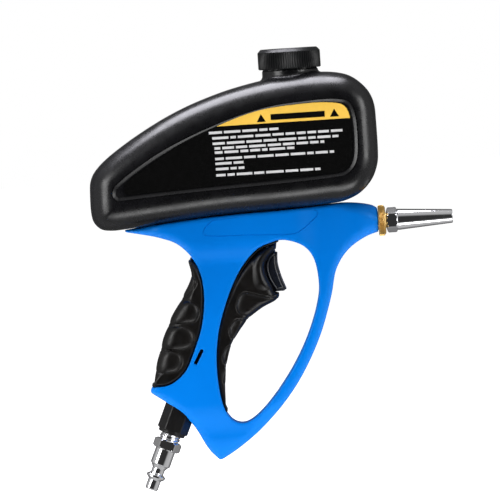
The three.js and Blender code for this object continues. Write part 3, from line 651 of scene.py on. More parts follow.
def body_edges(block):
    """Half the body's width, and the rounding of its edges, at every X and Z."""
    half = half_width(block.x, block.z)
    # round towards the collar, tight just under the hopper
    edge = 5.5 - 3.3 * smoothstep(66, 76, block.z) * (1 - smoothstep(84, 100, block.x))
    edge = edge + 3.0 * smoothstep(86, 108, block.x)
    # and tight beside the rear pad
    beside = 1 - smoothstep(1.0, 8.0, block.flat(PAD_REAR))
    edge = edge + (1.5 - edge) * beside
    return half, np.minimum(edge, 0.96 * half)


def body_core(block, clearance):
    rear = pillow(block.flat(CORE_REAR) + 1.2 - clearance, 10.5 + clearance, block.y, 5.0)
    front = pillow(block.flat(CORE_FRONT) - clearance, 10.3 + clearance, block.y, 3.0)
    return np.minimum(rear, front)


def pad_tongue(block, clearance):
    """The hidden edges of the pads, which reach a little way under the blue body's rim."""
    room = clearance + 1.2
    seam = 1.4 + clearance
    rear = np.maximum(pillow(block.flat(PAD_REAR) - room, 13.1 + clearance, block.y, 0.8),
                      block.flat(BODY) - seam)
    front = np.maximum(pillow(block.flat(PAD_FRONT) - room, 11.8 + clearance, block.y, 0.8),
                       -block.flat(OPENING) - seam)
    return rear, front


def body_half(name, sign, detail):
    """One moulded half: rounded outside, thin walls and a flat joint face on the centre plane."""
    block = Block((-51.2, -1.0, -84), (120.0, 20.6, 82.5), detail)
    half, edge = body_edges(block)
    outside = pillow(block.flat(BODY), half, block.y, edge)
    opening = block.flat(OPENING)
    solid = np.maximum(outside, pillow(-opening, half, block.y, 1.3))
    solid = without(solid, *pad_tongue(block, GAP))
    solid = np.minimum(solid, body_core(block, 0.0))
    inner = pillow(block.flat(HOLLOW), half - WALL, block.y, np.maximum(edge - WALL, 0.8))
    inner = np.maximum(inner, WALL - opening)
    inner = without(inner, pillow(block.flat(CORE_FRONT), CORE_HALF - 1.2, block.y, 0.3))
    for x, z, head in SCREWS.values():
        inner = np.maximum(inner, BOSS - np.hypot(block.x - x, block.z - z))
    # ribs under the valve and under the beam
    for x in (4.0, 19.0):
        inner = without(inner, np.maximum(np.abs(block.x - x - 1) - 1, np.abs(block.z - 42) - 10))
    for x in (44.5, 81.0, 98.0):
        inner = without(inner, np.maximum(np.abs(block.x - x - 1) - 1, 55 - block.z))
    solid = without(solid, inner)
    solid = np.maximum(solid, block.x - COLLAR_X)
    solid = np.maximum(solid, GAP / 2 - block.y)
    solid = without(
        solid,
        # the inlet fitting, its shank and the hose behind it
        block.bar(INLET_END, INLET_AXIS, 10.9, -20, 24.3),
        block.bar(INLET_END, INLET_AXIS, 7.3, 20, 34.3),
        block.bar(INLET_END, INLET_AXIS, 5.2, 30, 100),
        # the valve and its two necks
        valve_room(block),
        block.bar(VALVE_NECK_LOW, UP, 5.9, 28.7, 36),
        block.bar(VALVE_NECK_HIGH, UP, 5.5, 45, 53.1),
        # the barrel, the jet, the hopper's outlet, the mixing block and the captive foot
        block.bar(BORE, ALONG, 6.3, 79, 130),
        block.bar(BORE, ALONG, 5.4, 14, 50),
        block.bar(DROP, UP, 12.8, 74, 90),
        block.cuboid((47.5, -12.3, BORE_Z - 8.3), (80.3, 12.3, 76.6)),
        block.cuboid((-14.3, -8.3, 66.2), (10.3, 8.3, 69.8)),
        block.cuboid((-14.3, -5.3, 66), (10.3, 5.3, 90)),
        body_snap(block))
    # the screws go right through the left half only
    through = 30
    for x, z, head in SCREWS.values():
        reach = through if sign > 0 else BLIND_HOLE
        solid = without(solid, block.bar((x, 0, z), ACROSS, SCREW_HOLE, -9, reach))
        if sign > 0:
            solid = without(solid, block.bar((x, 0, z), ACROSS, HEAD_HOLE, head - 0.15, through))
    made = surface(name, solid, block)
    return mirrored(made) if sign < 0 else made


def valve_room(block):
    """Room for the valve's wide and narrow barrels."""
    return np.minimum(block.bar(VALVE, ALONG, 9.3, 0.9, 18.3),
                      block.bar(VALVE, ALONG, 7.3, 17, 27.3))


def body_snap(block):
    """The slot in the side of the handle, beside the rear pad, 60 degrees from level."""
    x, z = block.x + 6, block.z + 13.3
    along = x * 0.5 + z * 0.866
    across = x * 0.866 - z * 0.5
    half_length, half_width, floor = 5.3, 1.1, 10.0
    flat = np.maximum(np.abs(along) - half_length, np.abs(across) - half_width)
    return np.maximum(flat, floor - block.y)


def mirrored(obj):
    obj.data.transform(Matrix.Diagonal((1, -1, 1, 1)))
    obj.data.flip_normals()
    return obj


def body_shells():
    for sign, side in ((-1, "right"), (1, "left")):
        shell = body_half(f"body_half_{side}", sign, 0.75)
        # a shallow engraved line marks a panel on each side of the beam
        line = [(x, sign * float(half_width(x, z)), z) for x, z in PANEL]
        cut_by(shell, sweep("panel_line", line + line[:1], 0.38, 8))
        finished(shell, "blue", ROOT, f"body_shell_{side}", slot="blue_shell", degrees=40)


# ------------------------------------------------------------------ hopper


def inset_outline(points, distance):
    """An outline moved inwards, for distances small beside its curves."""
    ahead = np.roll(points, -1, axis=0) - np.roll(points, 1, axis=0)
    normal = np.stack([ahead[:, 1], -ahead[:, 0]], axis=1)
    normal /= np.linalg.norm(normal, axis=1)[:, None]
    area = np.sum(points[:, 0] * np.roll(points[:, 1], -1) - points[:, 1]
                  * np.roll(points[:, 0], -1))
    return points - math.copysign(distance, area) * normal


def tray(sign, steps):
    """A cutter from (inset, height) steps down into the hopper's side."""
    rings = [[(x, sign * y, z) for x, z in inset_outline(RECESS, inset)] for inset, y in steps]
    count = len(RECESS)
    corners = [point for ring in rings for point in ring]
    faces = [list(range(count)), list(range(len(corners) - count, len(corners)))[::-1]]
    for r in range(len(rings) - 1):
        for i in range(count):
            j = (i + 1) % count
            faces.append([r * count + i, r * count + j, (r + 1) * count + j, (r + 1) * count + i])
    return outward(mesh_object("tray", corners, faces))


def hopper():
    block = Block((-71, -31.5, 65), (120, 31.5, 181), 0.75)
    flat = block.flat(HOPPER)
    # broadly rounded, a little tighter at the front
    edge = 17.0 - 3.0 * smoothstep(80, 112, block.x)
    solid = pillow(flat, HOPPER_HALF, block.y, edge)
    across = np.hypot(block.x - NECK_X, block.y)
    neck = np.maximum(across - 18.1, block.z - (CAP_LOW - 0.7))
    solid = smooth_min(solid, np.maximum(neck, 150 - block.z), 3.0)
    turn = np.arctan2(block.y + 0 * block.x, block.x - NECK_X + 0 * block.y) / (2 * math.pi)
    ridge = np.abs((block.z / THREAD_PITCH - turn) % 1.0 - 0.5)
    thread = 0.5 * (1 - smoothstep(0.1, 0.28, ridge)) * smoothstep(169.4, 170.4, block.z)
    spout = np.maximum(across - 17.4 - thread * (1 - smoothstep(177.6, 178.4, block.z)),
                       np.abs(block.z - 165) - (NECK_TOP - 165))
    solid = np.minimum(solid, spout)
    foot = np.minimum(block.cuboid((-14, -8, 66.5), (10, 8, 69.5)),
                      block.cuboid((-14, -5, 66.5), (10, 5, 80)))
    drop = np.hypot(block.x - DROP_X, block.y)
    outlet = np.maximum(drop - 8.5, np.abs(block.z - 79) - 6.2)
    solid = np.minimum(solid, np.minimum(foot, outlet))
    # hollow, with an open neck and outlet
    solid = without(solid, pillow(flat + WALL, HOPPER_HALF - WALL, block.y, edge - WALL),
                    np.maximum(across - 14.8, 150 - block.z), np.maximum(drop - 6.5, block.z - 90))
    made = surface("hopper_tank", solid, block)
    # a stepped, sloping recess round the label on each side
    steps = [(-0.3, 30.8), (0.1, 29.3), (0.6, 29.3), (0.85, 29.8), (2.6, 28.95), (3.0, 28.8)]
    cut_by(made, tray(-1, steps), tray(1, steps))
    return finished(made, "hopper", ROOT, "hopper", slot="hopper_black", degrees=30)


def clipped(points, height, above):
    """The part of a flat outline above or below a height."""
    made = []
    sign = 1 if above else -1
    for (ax, az), (bx, bz) in zip(points, np.roll(points, -1, axis=0)):
        a_in, b_in = sign * (az - height) >= 0, sign * (bz - height) >= 0
        if a_in:
            made.append((ax, az))
        if a_in != b_in:
            share = (height - az) / (bz - az)
            made.append((ax + share * (bx - ax), height))
    return made


def label(sign, side):
    """Black film with a yellow band on top and plain marks where the print would be."""
    low, high, top = 29.1, 29.5, 29.56  # the film's back and face, and the print's face
    line_half, space, shortest = 0.8, 1.25, 2
    both_ends = 107  # a line's two ends add up to this once it is turned to the left side
    pieces = [
        (clipped(LABEL, LABEL_Z, False), low, high, "film_black"),
        (clipped(LABEL, LABEL_Z, True), low, high, "film_yellow"),
    ]
    for x, z in ((44.3, 138.7), (91.7, 139.2)):
        pieces.append(([(x - 2.9, z - 2.3), (x + 2.9, z - 2.3), (x, z + 2.8)], high, top,
                       "film_black"))
    pieces.append((oblong(50.5, 85.5, 137.2, 141), high, top, "film_black"))
    rows = [(131.4, 10, 57.5), (127.8, 12, 97), (124.3, 12, 96.5), (121.2, 13, 84),
            (118.5, 13, 65), (114.4, 13, 90), (111.3, 13, 34), (107.8, 13, 31.5),
            (103.8, 13, 80.5)]
    dashes = np.random.default_rng(7)
    for z, start, end in rows:
        x = start
        while x < end - shortest:
            length = min(float(dashes.uniform(3.5, 11.5)), end - x)
            ends = (x, x + length) if sign < 0 else (both_ends - (x + length), both_ends - x)
            pieces.append((oblong(*ends, z - line_half, z + line_half), high, top, "film_white"))
            x += length + space
    objects = []
    for points, y0, y1, paint in pieces:
        part = prism("film", points, sign * y0, sign * y1)
        part.data.materials.append(PAINTS[paint])
        objects.append(part)
    made = join_all(f"label_film_{side}", objects)
    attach(made, ROOT)
    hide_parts(f"label_{side}")
    return made


def cap():
    rows = [(18.2, CAP_LOW), (19.7, CAP_LOW), (20.3, CAP_LOW + 0.6), (20.3, CAP_LOW + 5),
            (20.3, CAP_TOP - 2.6), (20.2, CAP_TOP - 2.1), (18.5, CAP_TOP - 0.25),
            (17.9, CAP_TOP), (16.6, CAP_TOP), (16.2, CAP_TOP - 0.35), (8, CAP_TOP - 0.35),
            (0, CAP_TOP - 0.35), (0, CAP_TOP - 1.5), (18.2, CAP_TOP - 1.5), (18.2, CAP_LOW)]
    ribs = 80

    def ribbed(row, angle, radius):
        if row in (2, 3, 4):
            return radius - 0.28 + 0.28 * math.cos(ribs * angle)
        return radius

    made = turned("filler_cap_lid", rows, (NECK_X, 0, 0), UP, ribs * 6, ribbed)
    return finished(made, "cap", "filler_cap", "cap", slot="hopper_black", degrees=30)


def round_piece(name, profile, start, direction, paint, body, node, slot, sides=64, degrees=35):
    made = turned(name, profile, start, direction, sides)
    return finished(made, paint, body, node, slot=slot, degrees=degrees)


# ------------------------------------------------------------------ grips and trigger


def swelling(block, points, height, width, groove=0.55):
    """How far a domed finger band stands out inside its outline, and the groove round it."""
    flat = block.flat(outline(points, step=1.0))
    rise = np.clip(-flat / width, 0.0, 1.0)
    return height * (1 - (1 - rise) ** 2) - groove * np.exp(-(flat / 0.5) ** 2)


def grip_rear():
    block = Block((-38.5, -17.2, -32), (1.0, 17.2, 51), 0.5)
    bands = [
        [(-9, 39.6), (-6.0, 38.3), (-4.4, 34.7), (-6.4, 30.9), (-12.6, 25.6), (-16, 27)],
        [(-14.6, 23.9), (-10, 23.2), (-5.6, 20.4), (-4.1, 15.4), (-7.1, 9.9), (-13.2, 8.9),
         (-24, 9.6), (-27, 14)],
        [(-24.6, 7.1), (-17, 7.3), (-11, 5.2), (-8.3, 0.4), (-9.6, -5.0), (-15.6, -7.9),
         (-30, -5.9), (-32, 0)],
        [(-31.3, -8.2), (-23, -8.2), (-17.8, -11.4), (-17.2, -17.0), (-22, -22.0), (-34.5, -20.9),
         (-36, -14)],
    ]
    flat = block.flat(PAD_REAR)
    # the silhouette is nipped in between the bands
    relief = np.zeros(flat.shape, np.float32)
    for points in bands:
        relief = relief + swelling(block, points, 1.3, 5.0)
    # full at the blue body's edge, rounded away towards the palm
    back = smoothstep(0.5, 12.0, block.flat(BODY))
    half = 14.4 + relief
    edge = 0.9 + 7.5 * back
    solid = pillow(flat - 0.5 * relief * back, half, block.y, np.minimum(edge, 0.9 * half))
    solid = np.minimum(solid, pad_tongue(block, 0.0)[0])
    made = surface("grip_rear", without(solid, body_core(block, GAP)), block)
    return finished(made, "grip", ROOT, "grip_pad_rear", slot="grip_rubber", degrees=60)


def grip_front():
    block = Block((4.5, -16.2, -51), (51.5, 16.2, 60.5), 0.5)
    flat = block.flat(PAD_FRONT)
    bands = [
        [(52, 17), (46.8, 20.9), (39.6, 22.9), (31.1, 25.4), (26.5, 26.4), (23.1, 24.3),
         (21.5, 21.1), (20.6, 17.8), (21.7, 13.7), (25.9, 11.2), (28.4, 9.7), (40, 8)],
        [(27.3, 8.1), (20.1, 9.2), (16.6, 6.1), (15.1, 3.5), (15.4, -1), (17.5, -4), (30, -3)],
        [(16.5, -6.2), (12.3, -8.9), (10.1, -12.1), (9.5, -16.5), (11, -19.5), (20, -20)],
        [(12, -21.5), (9.8, -23.5), (8.8, -28), (9.4, -32), (16, -33)],
    ]
    relief = np.zeros(flat.shape, np.float32)
    for points in bands:
        relief = relief + swelling(block, points, 1.1, 4.5)
    # the hood over the trigger swells out towards its front
    hood = swelling(block, [(50, 58), (45.1, 56.8), (35.4, 50.7), (32.4, 39.6), (33.4, 29.6),
                            (37, 27.4), (44, 27), (60, 30), (60, 55)], 1.9, 6.0, 0.0)
    half = 12.3 + relief + hood
    edge = 1.2 + 4.6 * smoothstep(10, 34, block.x) * smoothstep(-40, 0, block.z)
    solid = pillow(flat - 0.3 * relief, half, block.y, np.minimum(edge, 0.9 * half))
    solid = np.minimum(solid, pad_tongue(block, 0.0)[1])
    steps, each = 4, 4.2  # the trigger's travel, in steps of so many degrees
    solid = without(solid, body_core(block, GAP),
                    *(trigger_room(block, math.radians(each * turn)) for turn in range(steps)))
    solid = without(solid, valve_room(block), block.bar(VALVE, ALONG, 3.1, 26, 45),
                    block.bar(PIN, ACROSS, 1.4, -11.2, 11.2))
    made = surface("grip_front", solid, block)
    return finished(made, "grip", ROOT, "grip_pad_front", slot="grip_rubber", degrees=60)


def trigger_room(block, angle):
    """Room for the trigger when it has turned by an angle about its pin."""
    c, s = math.cos(angle), math.sin(angle)

    def moved(points):
        x, z = points[:, 0] - PIN[0], points[:, 1] - PIN[2]
        return np.stack([PIN[0] + c * x + s * z, PIN[2] - s * x + c * z], axis=1)

    lever = pillow(block.flat(moved(TRIGGER_WHOLE)) - 0.4, 7.4, block.y, 0.8)
    ear = pillow(block.flat(moved(TRIGGER_EAR)) - 0.4, 5.9, block.y, 0.6)
    return np.minimum(np.minimum(lever, ear), block.bar(PIN, ACROSS, 3, -7.4, 7.4))


def trigger():
    block = Block((36, -8.2, 22), (56.5, 8.2, 59), 0.3)
    inset = -block.flat(TRIGGER_FACE)
    rim = 0.4 * np.exp(-((inset - 1.7) / 0.4) ** 2)
    # a raised panel on each side, and a plainer back that slides into the hood
    lever = np.minimum(pillow(-inset, 7.0 - rim, block.y, 0.9),
                       pillow(block.flat(TRIGGER_WHOLE), 6.3, block.y, 0.8))
    ear = pillow(block.flat(TRIGGER_EAR), 5.5, block.y, 0.5)
    eye = block.bar(PIN, ACROSS, 2.6, -7, 7)
    nose = block.bar((41.5, 0, VALVE_Z), ACROSS, 3, -4, 4)
    solid = smooth_min(np.minimum(lever, ear), np.minimum(eye, nose), 0.4)
    solid = without(solid, block.bar(PIN, ACROSS, 1.4, -12, 12))
    made = surface("trigger_lever_form", solid, block)
    return finished(made, "trigger", "trigger_lever", "trigger", slot="dark_plastic", degrees=50)


# ------------------------------------------------------------------ air path and metal parts


def hex_piece(name, flats, profile, start, direction, hex_rows, sides=192):
    """A turned piece with some rows made hexagonal, with flats towards +-Y."""

    def radius(row, angle, limit):
        # a flat lies a quarter turn from the ring's first point
        part = (angle + math.pi / 2 + math.pi / 6) % (math.pi / 3) - math.pi / 6
        return min(limit, flats / 2 / math.cos(part)) if row in hex_rows else limit

    return turned(name, profile, start, direction, sides, radius)


def inlet_fitting():
    profile = [
        (7.15, 0.5), (7.6, 0), (8.3, 0), (8.7, 0.5), (8.8, 1.6), (9.0, 1.8), (10.2, 2.6),
        (10.2, 24), (7, 24), (7, 34), (3, 34), (3, 12.4), (6.0, 12.4), (6.3, 11.8), (7.15, 0.5),
    ]
    made = hex_piece("inlet_hex", 18, profile, INLET_END, INLET_AXIS, (2, 3, 4, 5, 6, 7))
    return finished(made, "inlet", ROOT, "air_inlet_fitting", slot="dark_plastic", degrees=12)


def threaded(name, rows, start, direction, pitch, low, high, depth, sides=96, steps=12):
    """A closed turned profile whose outer wall between two places carries a screw thread."""
    profile = []
    for (r0, s0), (r1, s1) in zip(rows, rows[1:]):
        profile.append((r0, s0))
        if min(s0, s1) == low and max(s0, s1) == high:
            count = int(abs(s1 - s0) / pitch * steps)
            for i in range(1, count):
                share = i / count
                profile.append((r0 + share * (r1 - r0), s0 + share * (s1 - s0)))
    profile.append(rows[-1])

    def cut(row, angle, radius):
        s = profile[row][1]
        if not low < s < high:
            return radius
        wave = abs(((s / pitch - angle / (2 * math.pi)) % 1.0) * 2 - 1)
        fade = min(1.0, (s - low) / pitch, (high - s) / pitch)
        return radius - depth * fade * min(1.0, max(0.0, 1.25 * wave - 0.12))

    return turned(name, profile, start, direction, sides, cut)


def air_plug():
    shoulder = -4.3
    end = shoulder + 14.8
    thread = threaded(
        "plug_thread",
        [(2.75, end), (5.4, end), (6.1, end - 0.7), (6.2, end - 0.8), (6.85, shoulder + 1.4),
         (6.1, shoulder + 0.7), (6.1, shoulder - 0.6), (2.75, shoulder - 0.6), (2.75, end)],
        INLET_END, INLET_AXIS, PLUG_PITCH, shoulder + 1.4, end - 0.8, 0.85)
    s = shoulder
    hexed = hex_piece(
        "plug_hex", 15.9,
        [(2.75, s - 0.6), (6.1, s - 0.6), (7.6, s - 0.0), (8.6, s - 0.6), (9.18, s - 1.1),
         (9.18, s - 5.3), (8.6, s - 5.8), (7.8, s - 6.4), (6.6, s - 6.4), (2.75, s - 6.4),
         (2.75, s - 0.6)],
        INLET_END, INLET_AXIS, (2, 3, 4, 5, 6, 7))
    nose = turned(
        "plug_nose",
        [(2.75, s - 6.4), (6.6, s - 6.4), (6.6, s - 6.6), (6.6, s - 16.4), (6.35, s - 16.9),
         (5.7, s - 17.3), (5.5, s - 17.6), (4.55, s - 19.2), (4.25, s - 19.6), (4.25, s - 22.5),
         (4.5, s - 23), (6.0, s - 23.9), (6.2, s - 24.2), (6.2, s - 25.4), (5.9, s - 25.8),
         (4.5, s - 27), (4.25, s - 27.4), (4.25, s - 33.2), (3.7, s - 34), (3.2, s - 34),
         (2.75, s - 33.6), (2.75, s - 6.4)],
        INLET_END, INLET_AXIS, 96)
    made = join_all("hose_plug_steel", [thread, hexed, nose])
    return finished(made, "polished", "hose_plug", "air_plug", slot="polished_steel", degrees=15)


def nozzle():
    x, end = 121.6, 164.4
    head_end = x + 6.7
    hexed = hex_piece(
        "nozzle_hex", 14.3,
        [(6.5, x), (7.15, x), (7.6, x + 0.25), (8.26, x + 0.9), (8.26, head_end - 0.9),
         (7.6, head_end - 0.25), (7.05, head_end), (5.1, head_end), (5.1, x + 1.2),
         (6.5, x + 1.2), (6.5, x)],
        BORE, ALONG, (1, 2, 3, 4, 5, 6), 240)
    spout = turned(
        "nozzle_spout",
        [(5.1, head_end), (6.75, head_end), (6.95, head_end + 0.6), (6.86, head_end + 1.6),
         (4.55, end - 0.8), (4.35, end - 0.2), (4.15, end), (3.6, end), (3.3, end - 0.3),
         (3.3, head_end + 1), (5.1, head_end)],
        BORE, ALONG, 96)
    made = join_all("nozzle_steel", [hexed, spout])
    return finished(made, "polished", "nozzle_tube", "nozzle", slot="polished_steel", degrees=15)


def knurled_ring():
    x0, x1 = 116.1, 120.8
    teeth = 64
    profile = [(6.3, x0), (9.3, x0), (9.75, x0 + 0.3), (10, x0 + 0.5), (10, x1 - 1.3),
               (9.75, x1 - 1.1), (8.6, x1 - 0.1), (8.4, x1), (6.3, x1), (6.3, x0)]

    def knurl(row, angle, radius):
        return radius - 0.3 + 0.3 * math.cos(teeth * angle) if row in (3, 4) else radius

    made = turned("ring_brass", profile, BORE, ALONG, teeth * 6, knurl)
    return finished(made, "brass", ROOT, "knurled_ring", slot="brass", degrees=30)


def barrel():
    made = threaded(
        "barrel_brass",
        [(3.6, 74.3), (5.6, 74.3), (6, 74.7), (6, 120.4), (5.6, 120.9), (4.95, 120.9),
         (4.95, 121.6), (4.9, 121.7), (4.9, 126.6), (4.6, 127), (3.6, 127), (3.6, 74.3)],
        BORE, ALONG, BARREL_PITCH, 121.7, 126.6, 0.5)
    return finished(made, "brass", ROOT, "barrel", slot="brass", degrees=28)


def air_jet():
    return round_piece(
        "jet_brass",
        [(3.4, 26), (4.15, 26), (4.4, 26.3), (4.4, 35.8), (4.2, 36), (4.2, 50),
         (2.8, 56.3), (2.4, 56.8), (1.6, 56.8), (1.6, 29.3), (3.4, 29.3), (3.4, 26)],
        BORE, ALONG, "brass", ROOT, "air_jet", "brass")


def mixing_block():
    block = Block((46, -14, 57), (82, 14, 78), 0.5)
    solid = pillow(block.flat(np.array(oblong(48, 80, 59, 76.3))), 12, block.y, 1.5)
    solid = without(
        solid,
        block.bar(BORE, ALONG, 4.5, 40, 54),  # the jet's bore
        block.bar(BORE, ALONG, 5, 53, 90),  # the mixing room
        block.bar(BORE, ALONG, 6.3, 74, 90),  # the barrel's seat
        block.bar(DROP, UP, 5.8, BORE_Z, 90),  # the way down for the media
        block.bar(DROP, UP, 8.9, 72.4, 90))  # the hopper's outlet
    made = surface("block_casting", solid, block)
    return finished(made, "alloy", ROOT, "mixing_block", slot="cast_alloy", degrees=45)


def valve_casting():
    block = Block((-0.5, -10.5, 27), (29, 10.5, 54.5), 0.4)
    solid = block.bar(VALVE, ALONG, 9, 1.2, 18)
    solid = smooth_min(solid, block.bar(VALVE, ALONG, 7, 17, 27), 0.8)
    solid = smooth_min(solid, block.bar(VALVE_NECK_LOW, UP, 5.6, 29, 36), 0.6)
    solid = smooth_min(solid, block.bar(VALVE_NECK_HIGH, UP, 5.2, 45, 52.8), 0.6)
    for start, way, radius, low, high in (
            (VALVE, ALONG, 6.8, -1, 13.4), (VALVE, ALONG, 4, 10, 18.4),
            (VALVE, ALONG, 2.8, 10, 30), (VALVE, ALONG, 3.6, 24.2, 30),
            (VALVE_NECK_LOW, UP, 3.8, 28, 31.7), (VALVE_NECK_LOW, UP, 2.2, 30, 36),
            (VALVE_NECK_HIGH, UP, 3.5, 50.9, 55), (VALVE_NECK_HIGH, UP, 2, 42, 52)):
        solid = without(solid, block.bar(start, way, radius, low, high))
    made = surface("valve_casting", solid, block)
    return finished(made, "brass", ROOT, "valve_body", slot="brass", degrees=45)


def valve_parts():
    round_piece(
        "stem_steel",
        [(0, 10.4), (5.5, 10.4), (5.8, 10.7), (5.8, 12.7), (5.5, 13), (3, 13.1), (2, 14),
         (2, 18.6), (2.5, 19), (2.5, 36.6), (1.9, 37.8), (1.4, 38), (0, 38)],
        VALVE, ALONG, "steel", "stem", "valve_stem", "plain_steel", 48)
    round_piece(
        "valve_plug_cap",
        [(0, 1.4), (2.6, 1.4), (2.8, 1.9), (5.9, 1.9), (6.1, 1.4), (6.5, 1.7), (6.5, 3.6),
         (2.4, 3.6), (2.4, 4.6), (0, 4.6)],
        VALVE, ALONG, "brass", ROOT, "valve_end_cap", "brass", 48)
    round_piece(
        "stem_packing",
        [(2.7, 24.5), (3.1, 24.5), (3.4, 24.8), (3.4, 26), (3.1, 26.3), (2.7, 26.3), (2.7, 24.5)],
        VALVE, ALONG, "seal", ROOT, "stem_seal", "seal_rubber", 48)
    turns, rows = 4, 160
    coil = []
    for i in range(rows + 1):
        angle = 2 * math.pi * turns * i / rows
        coil.append((4.4 + 5.3 * i / rows, 3.9 * math.cos(angle),
                     VALVE_Z + 3.9 * math.sin(angle)))
    spring = sweep("spring_wire", coil, 0.4, 10)
    finished(spring, "steel", ROOT, "valve_spring", slot="plain_steel")
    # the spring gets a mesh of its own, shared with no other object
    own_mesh(spring)


def hose_piece(name, path, radius, bore, node):
    """A hollow hose along a curve in the centre plane."""
    line = curve_points(path, 0.8)
    line = np.vstack([line, [path[-1]]])
    corners, faces = [], []
    sides = 28
    for i, (x, z) in enumerate(line):
        before, after = line[max(i - 1, 0)], line[min(i + 1, len(line) - 1)]
        along = (after - before) / np.linalg.norm(after - before)
        for r in (radius, bore):
            for k in range(sides):
                angle = 2 * math.pi * k / sides
                out = r * math.sin(angle)
                corners.append((x - along[1] * out, r * math.cos(angle), z + along[0] * out))
    step = 2 * sides
    last = (len(line) - 1) * step
    for k in range(sides):
        j = (k + 1) % sides
        for i in range(len(line) - 1):
            a = i * step
            faces.append([a + k, a + j, a + step + j, a + step + k])
            a += sides
            faces.append([a + j, a + k, a + step + k, a + step + j])
        faces.append([k, k + sides, j + sides, j])
        faces.append([last + k, last + j, last + j + sides, last + k + sides])
    made = outward(mesh_object(name, corners, faces))
    return finished(made, "hose", ROOT, node, slot="air_hose")


def small_round_parts():
    round_piece("nozzle_o_ring",
                [(5.1, 121.5), (5.3, 121.3), (6.1, 121.3), (6.3, 121.5), (6.3, 122.3),
                 (6.1, 122.5), (5.3, 122.5), (5.1, 122.3), (5.1, 121.5)],
                BORE, ALONG, "seal", "nozzle_carrier", "nozzle_seal",
                "seal_rubber", 48, 60)
    round_piece("outlet_gasket",
                [(8.8, 76.8), (9.0, 76.6), (12.2, 76.6), (12.4, 76.8), (12.4, 77.8),
                 (12.2, 78), (9.0, 78), (8.8, 77.8), (8.8, 76.8)],
                DROP, UP, "seal", ROOT, "hopper_gasket", "seal_rubber", 64, 60)
    round_piece("liner_disc",
                [(0, 179.7), (14.6, 179.7), (14.9, 179.95), (17.1, 179.95), (17.4, 180.2),
                 (17.4, 180.6), (17.2, 180.8), (0, 180.8)],
                (NECK_X, 0, 0), UP, "seal", "cap_lifter", "cap_liner", "seal_rubber", 96)
    round_piece("pivot_pin",
                [(0, -11), (1.0, -11), (1.25, -10.75), (1.25, 10.75), (1.0, 11), (0, 11)],
                (PIN[0], 0, PIN[2]), (0, 1, 0), "steel", ROOT, "trigger_pin", "plain_steel", 32)


def body_screw(place, x, z, head):
    """A pan-head screw with a cross recess and a coarse thread."""
    tip, top, pitch = -8.0, head + 2.2, 0.8
    screw = threaded(
        f"case_screw_{place}",
        [(0, tip), (1.1, tip), (1.5, tip + 0.5), (1.5, head), (2.7, head), (3.0, head + 0.3),
         (3.0, head + 1.3), (2.6, head + 1.9), (1.9, top), (0, top)],
        (x, 0, z), ACROSS, pitch, tip + 0.5, head, 0.3, 24, 4)
    slots = []
    for long, wide in ((1.8, 0.3), (0.3, 1.8)):
        shape = oblong(x - long, x + long, z - wide, z + wide)
        slots.append(prism("drive", shape, top - 1.2, top + 1))
    cut_by(screw, *slots)
    return finished(screw, "steel", ROOT, f"body_screw_{place}", slot="plain_steel", degrees=30)


# ------------------------------------------------------------------ room, light and camera


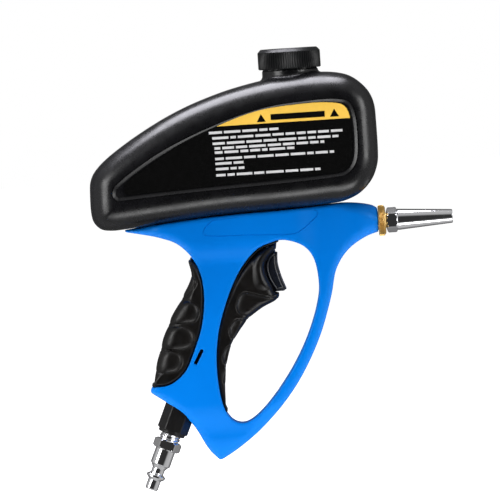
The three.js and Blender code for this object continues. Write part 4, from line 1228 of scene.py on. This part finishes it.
def studio():
    side, near, far = 5000, -200, 9000
    corners = [(-side, near, FLOOR_Z), (side, near, FLOOR_Z), (side, far, FLOOR_Z),
               (-side, far, FLOOR_Z)]
    floor = mesh_object("floor", corners, [[0, 1, 2, 3]])
    paint = Paint("floor_white", (0.9, 0.9, 0.9), 0.9)
    paint.set(Emission_Color=(1, 1, 1, 1), Emission_Strength=0.75)
    floor.data.materials.append(paint.material)
    floor.visible_glossy = False

    world = bpy.data.worlds.new("studio")
    bpy.context.scene.world = world
    world.use_nodes = True
    nodes, links = world.node_tree.nodes, world.node_tree.links
    back = nodes["Background"]
    place = nodes.new("ShaderNodeTexCoord")
    split = nodes.new("ShaderNodeSeparateXYZ")
    links.new(place.outputs["Generated"], split.inputs["Vector"])
    # dark in front of the gun, bright round its sides, and grey behind it
    share = nodes.new("ShaderNodeMapRange")
    share.inputs["From Min"].default_value = -1
    links.new(split.outputs["Y"], share.inputs["Value"])
    ramp = nodes.new("ShaderNodeValToRGB")
    links.new(share.outputs["Result"], ramp.inputs["Fac"])
    stops = ramp.color_ramp.elements
    for at, level in ((0.0, 0.03), (0.07, 0.03), (0.16, 0.4), (0.55, 0.5), (0.8, 0.16), (1, 0.1)):
        stop = stops.new(at) if 0 < at < 1 else stops[-int(at)]
        stop.color = (level, level, level, 1)
    ray = nodes.new("ShaderNodeLightPath")
    seen = nodes.new("ShaderNodeMath")
    seen.operation = "MAXIMUM"
    links.new(ramp.outputs["Color"], seen.inputs[0])
    links.new(ray.outputs["Is Camera Ray"], seen.inputs[1])
    links.new(seen.outputs["Value"], back.inputs["Strength"])
    back.inputs["Color"].default_value = (1, 1, 1, 1)
    bpy.context.scene.view_settings.view_transform = "Standard"

    lamps = (
        ("top", (-0.12, 0.05, 1.05), (0.6, 0.9), 21),
        ("left", (-1.0, -0.8, 0.4), (0.5, 0.9), 8),
        ("right", (1.1, -0.8, 0.3), (0.5, 0.9), 7),
        ("low", (0.3, -0.7, -0.9), (0.9, 0.4), 5),
    )
    target = Vector((0.03, 0, 0.05))
    for name, spot, size, power in lamps:
        light = bpy.data.lights.new(name, "AREA")
        light.shape = "RECTANGLE"
        light.size, light.size_y = size
        light.energy = power
        light.color = (0.93, 0.92, 1.0) if name == "top" else (1.0, 1.0, 1.0)
        lamp = bpy.data.objects.new(name, light)
        lamp.location = spot
        lamp.rotation_euler = (target - Vector(spot)).to_track_quat("-Z", "Y").to_euler()
        bpy.context.scene.collection.objects.link(lamp)


def camera():
    """Level with the gun and square to its right side, with the nozzle tipped up a little."""
    tilt = math.radians(3.7)
    rise = math.radians(2.0)
    target = Vector((31.6, 0, 53.3)) * MM
    away = 5.0
    right = Vector((math.cos(tilt), 0, -math.sin(tilt)))
    back = Vector((0, -math.cos(rise), math.sin(rise)))
    back = (back - right * back.dot(right)).normalized()
    up = back.cross(right)
    lens = bpy.data.cameras.new("camera")
    lens.sensor_width = 36
    seen = 0.325  # metres across the picture, at the gun
    lens.lens = lens.sensor_width * away / seen
    lens.clip_end = 50
    eye = bpy.data.objects.new("camera", lens)
    turn = Matrix((right, up, back)).transposed()
    eye.matrix_world = Matrix.Translation(target + back * away) @ turn.to_4x4()
    bpy.context.scene.collection.objects.link(eye)
    bpy.context.scene.camera = eye


body_shells()
hopper()
label(-1, "right")
label(1, "left")
cap()
grip_rear()
grip_front()
trigger()
inlet_fitting()
air_plug()
nozzle()
knurled_ring()
barrel()
air_jet()
mixing_block()
valve_casting()
valve_parts()
hose_piece("inlet_tube", [(-13.45, -31.2), (-6.6, -15.4), (0.4, 0.8), (6, 16), (7.9, 24),
                          (8, 31.4)], 3.6, 2.2, "inlet_hose")
hose_piece("jet_tube", [(15.5, 51.2), (15.6, 57), (17.5, 63.5), (23, 66.8), (29, 67)],
           3.0, 2.0, "jet_hose")
small_round_parts()
for place, (x, z, head) in SCREWS.items():
    body_screw(place, x, z, head)
studio()
camera()
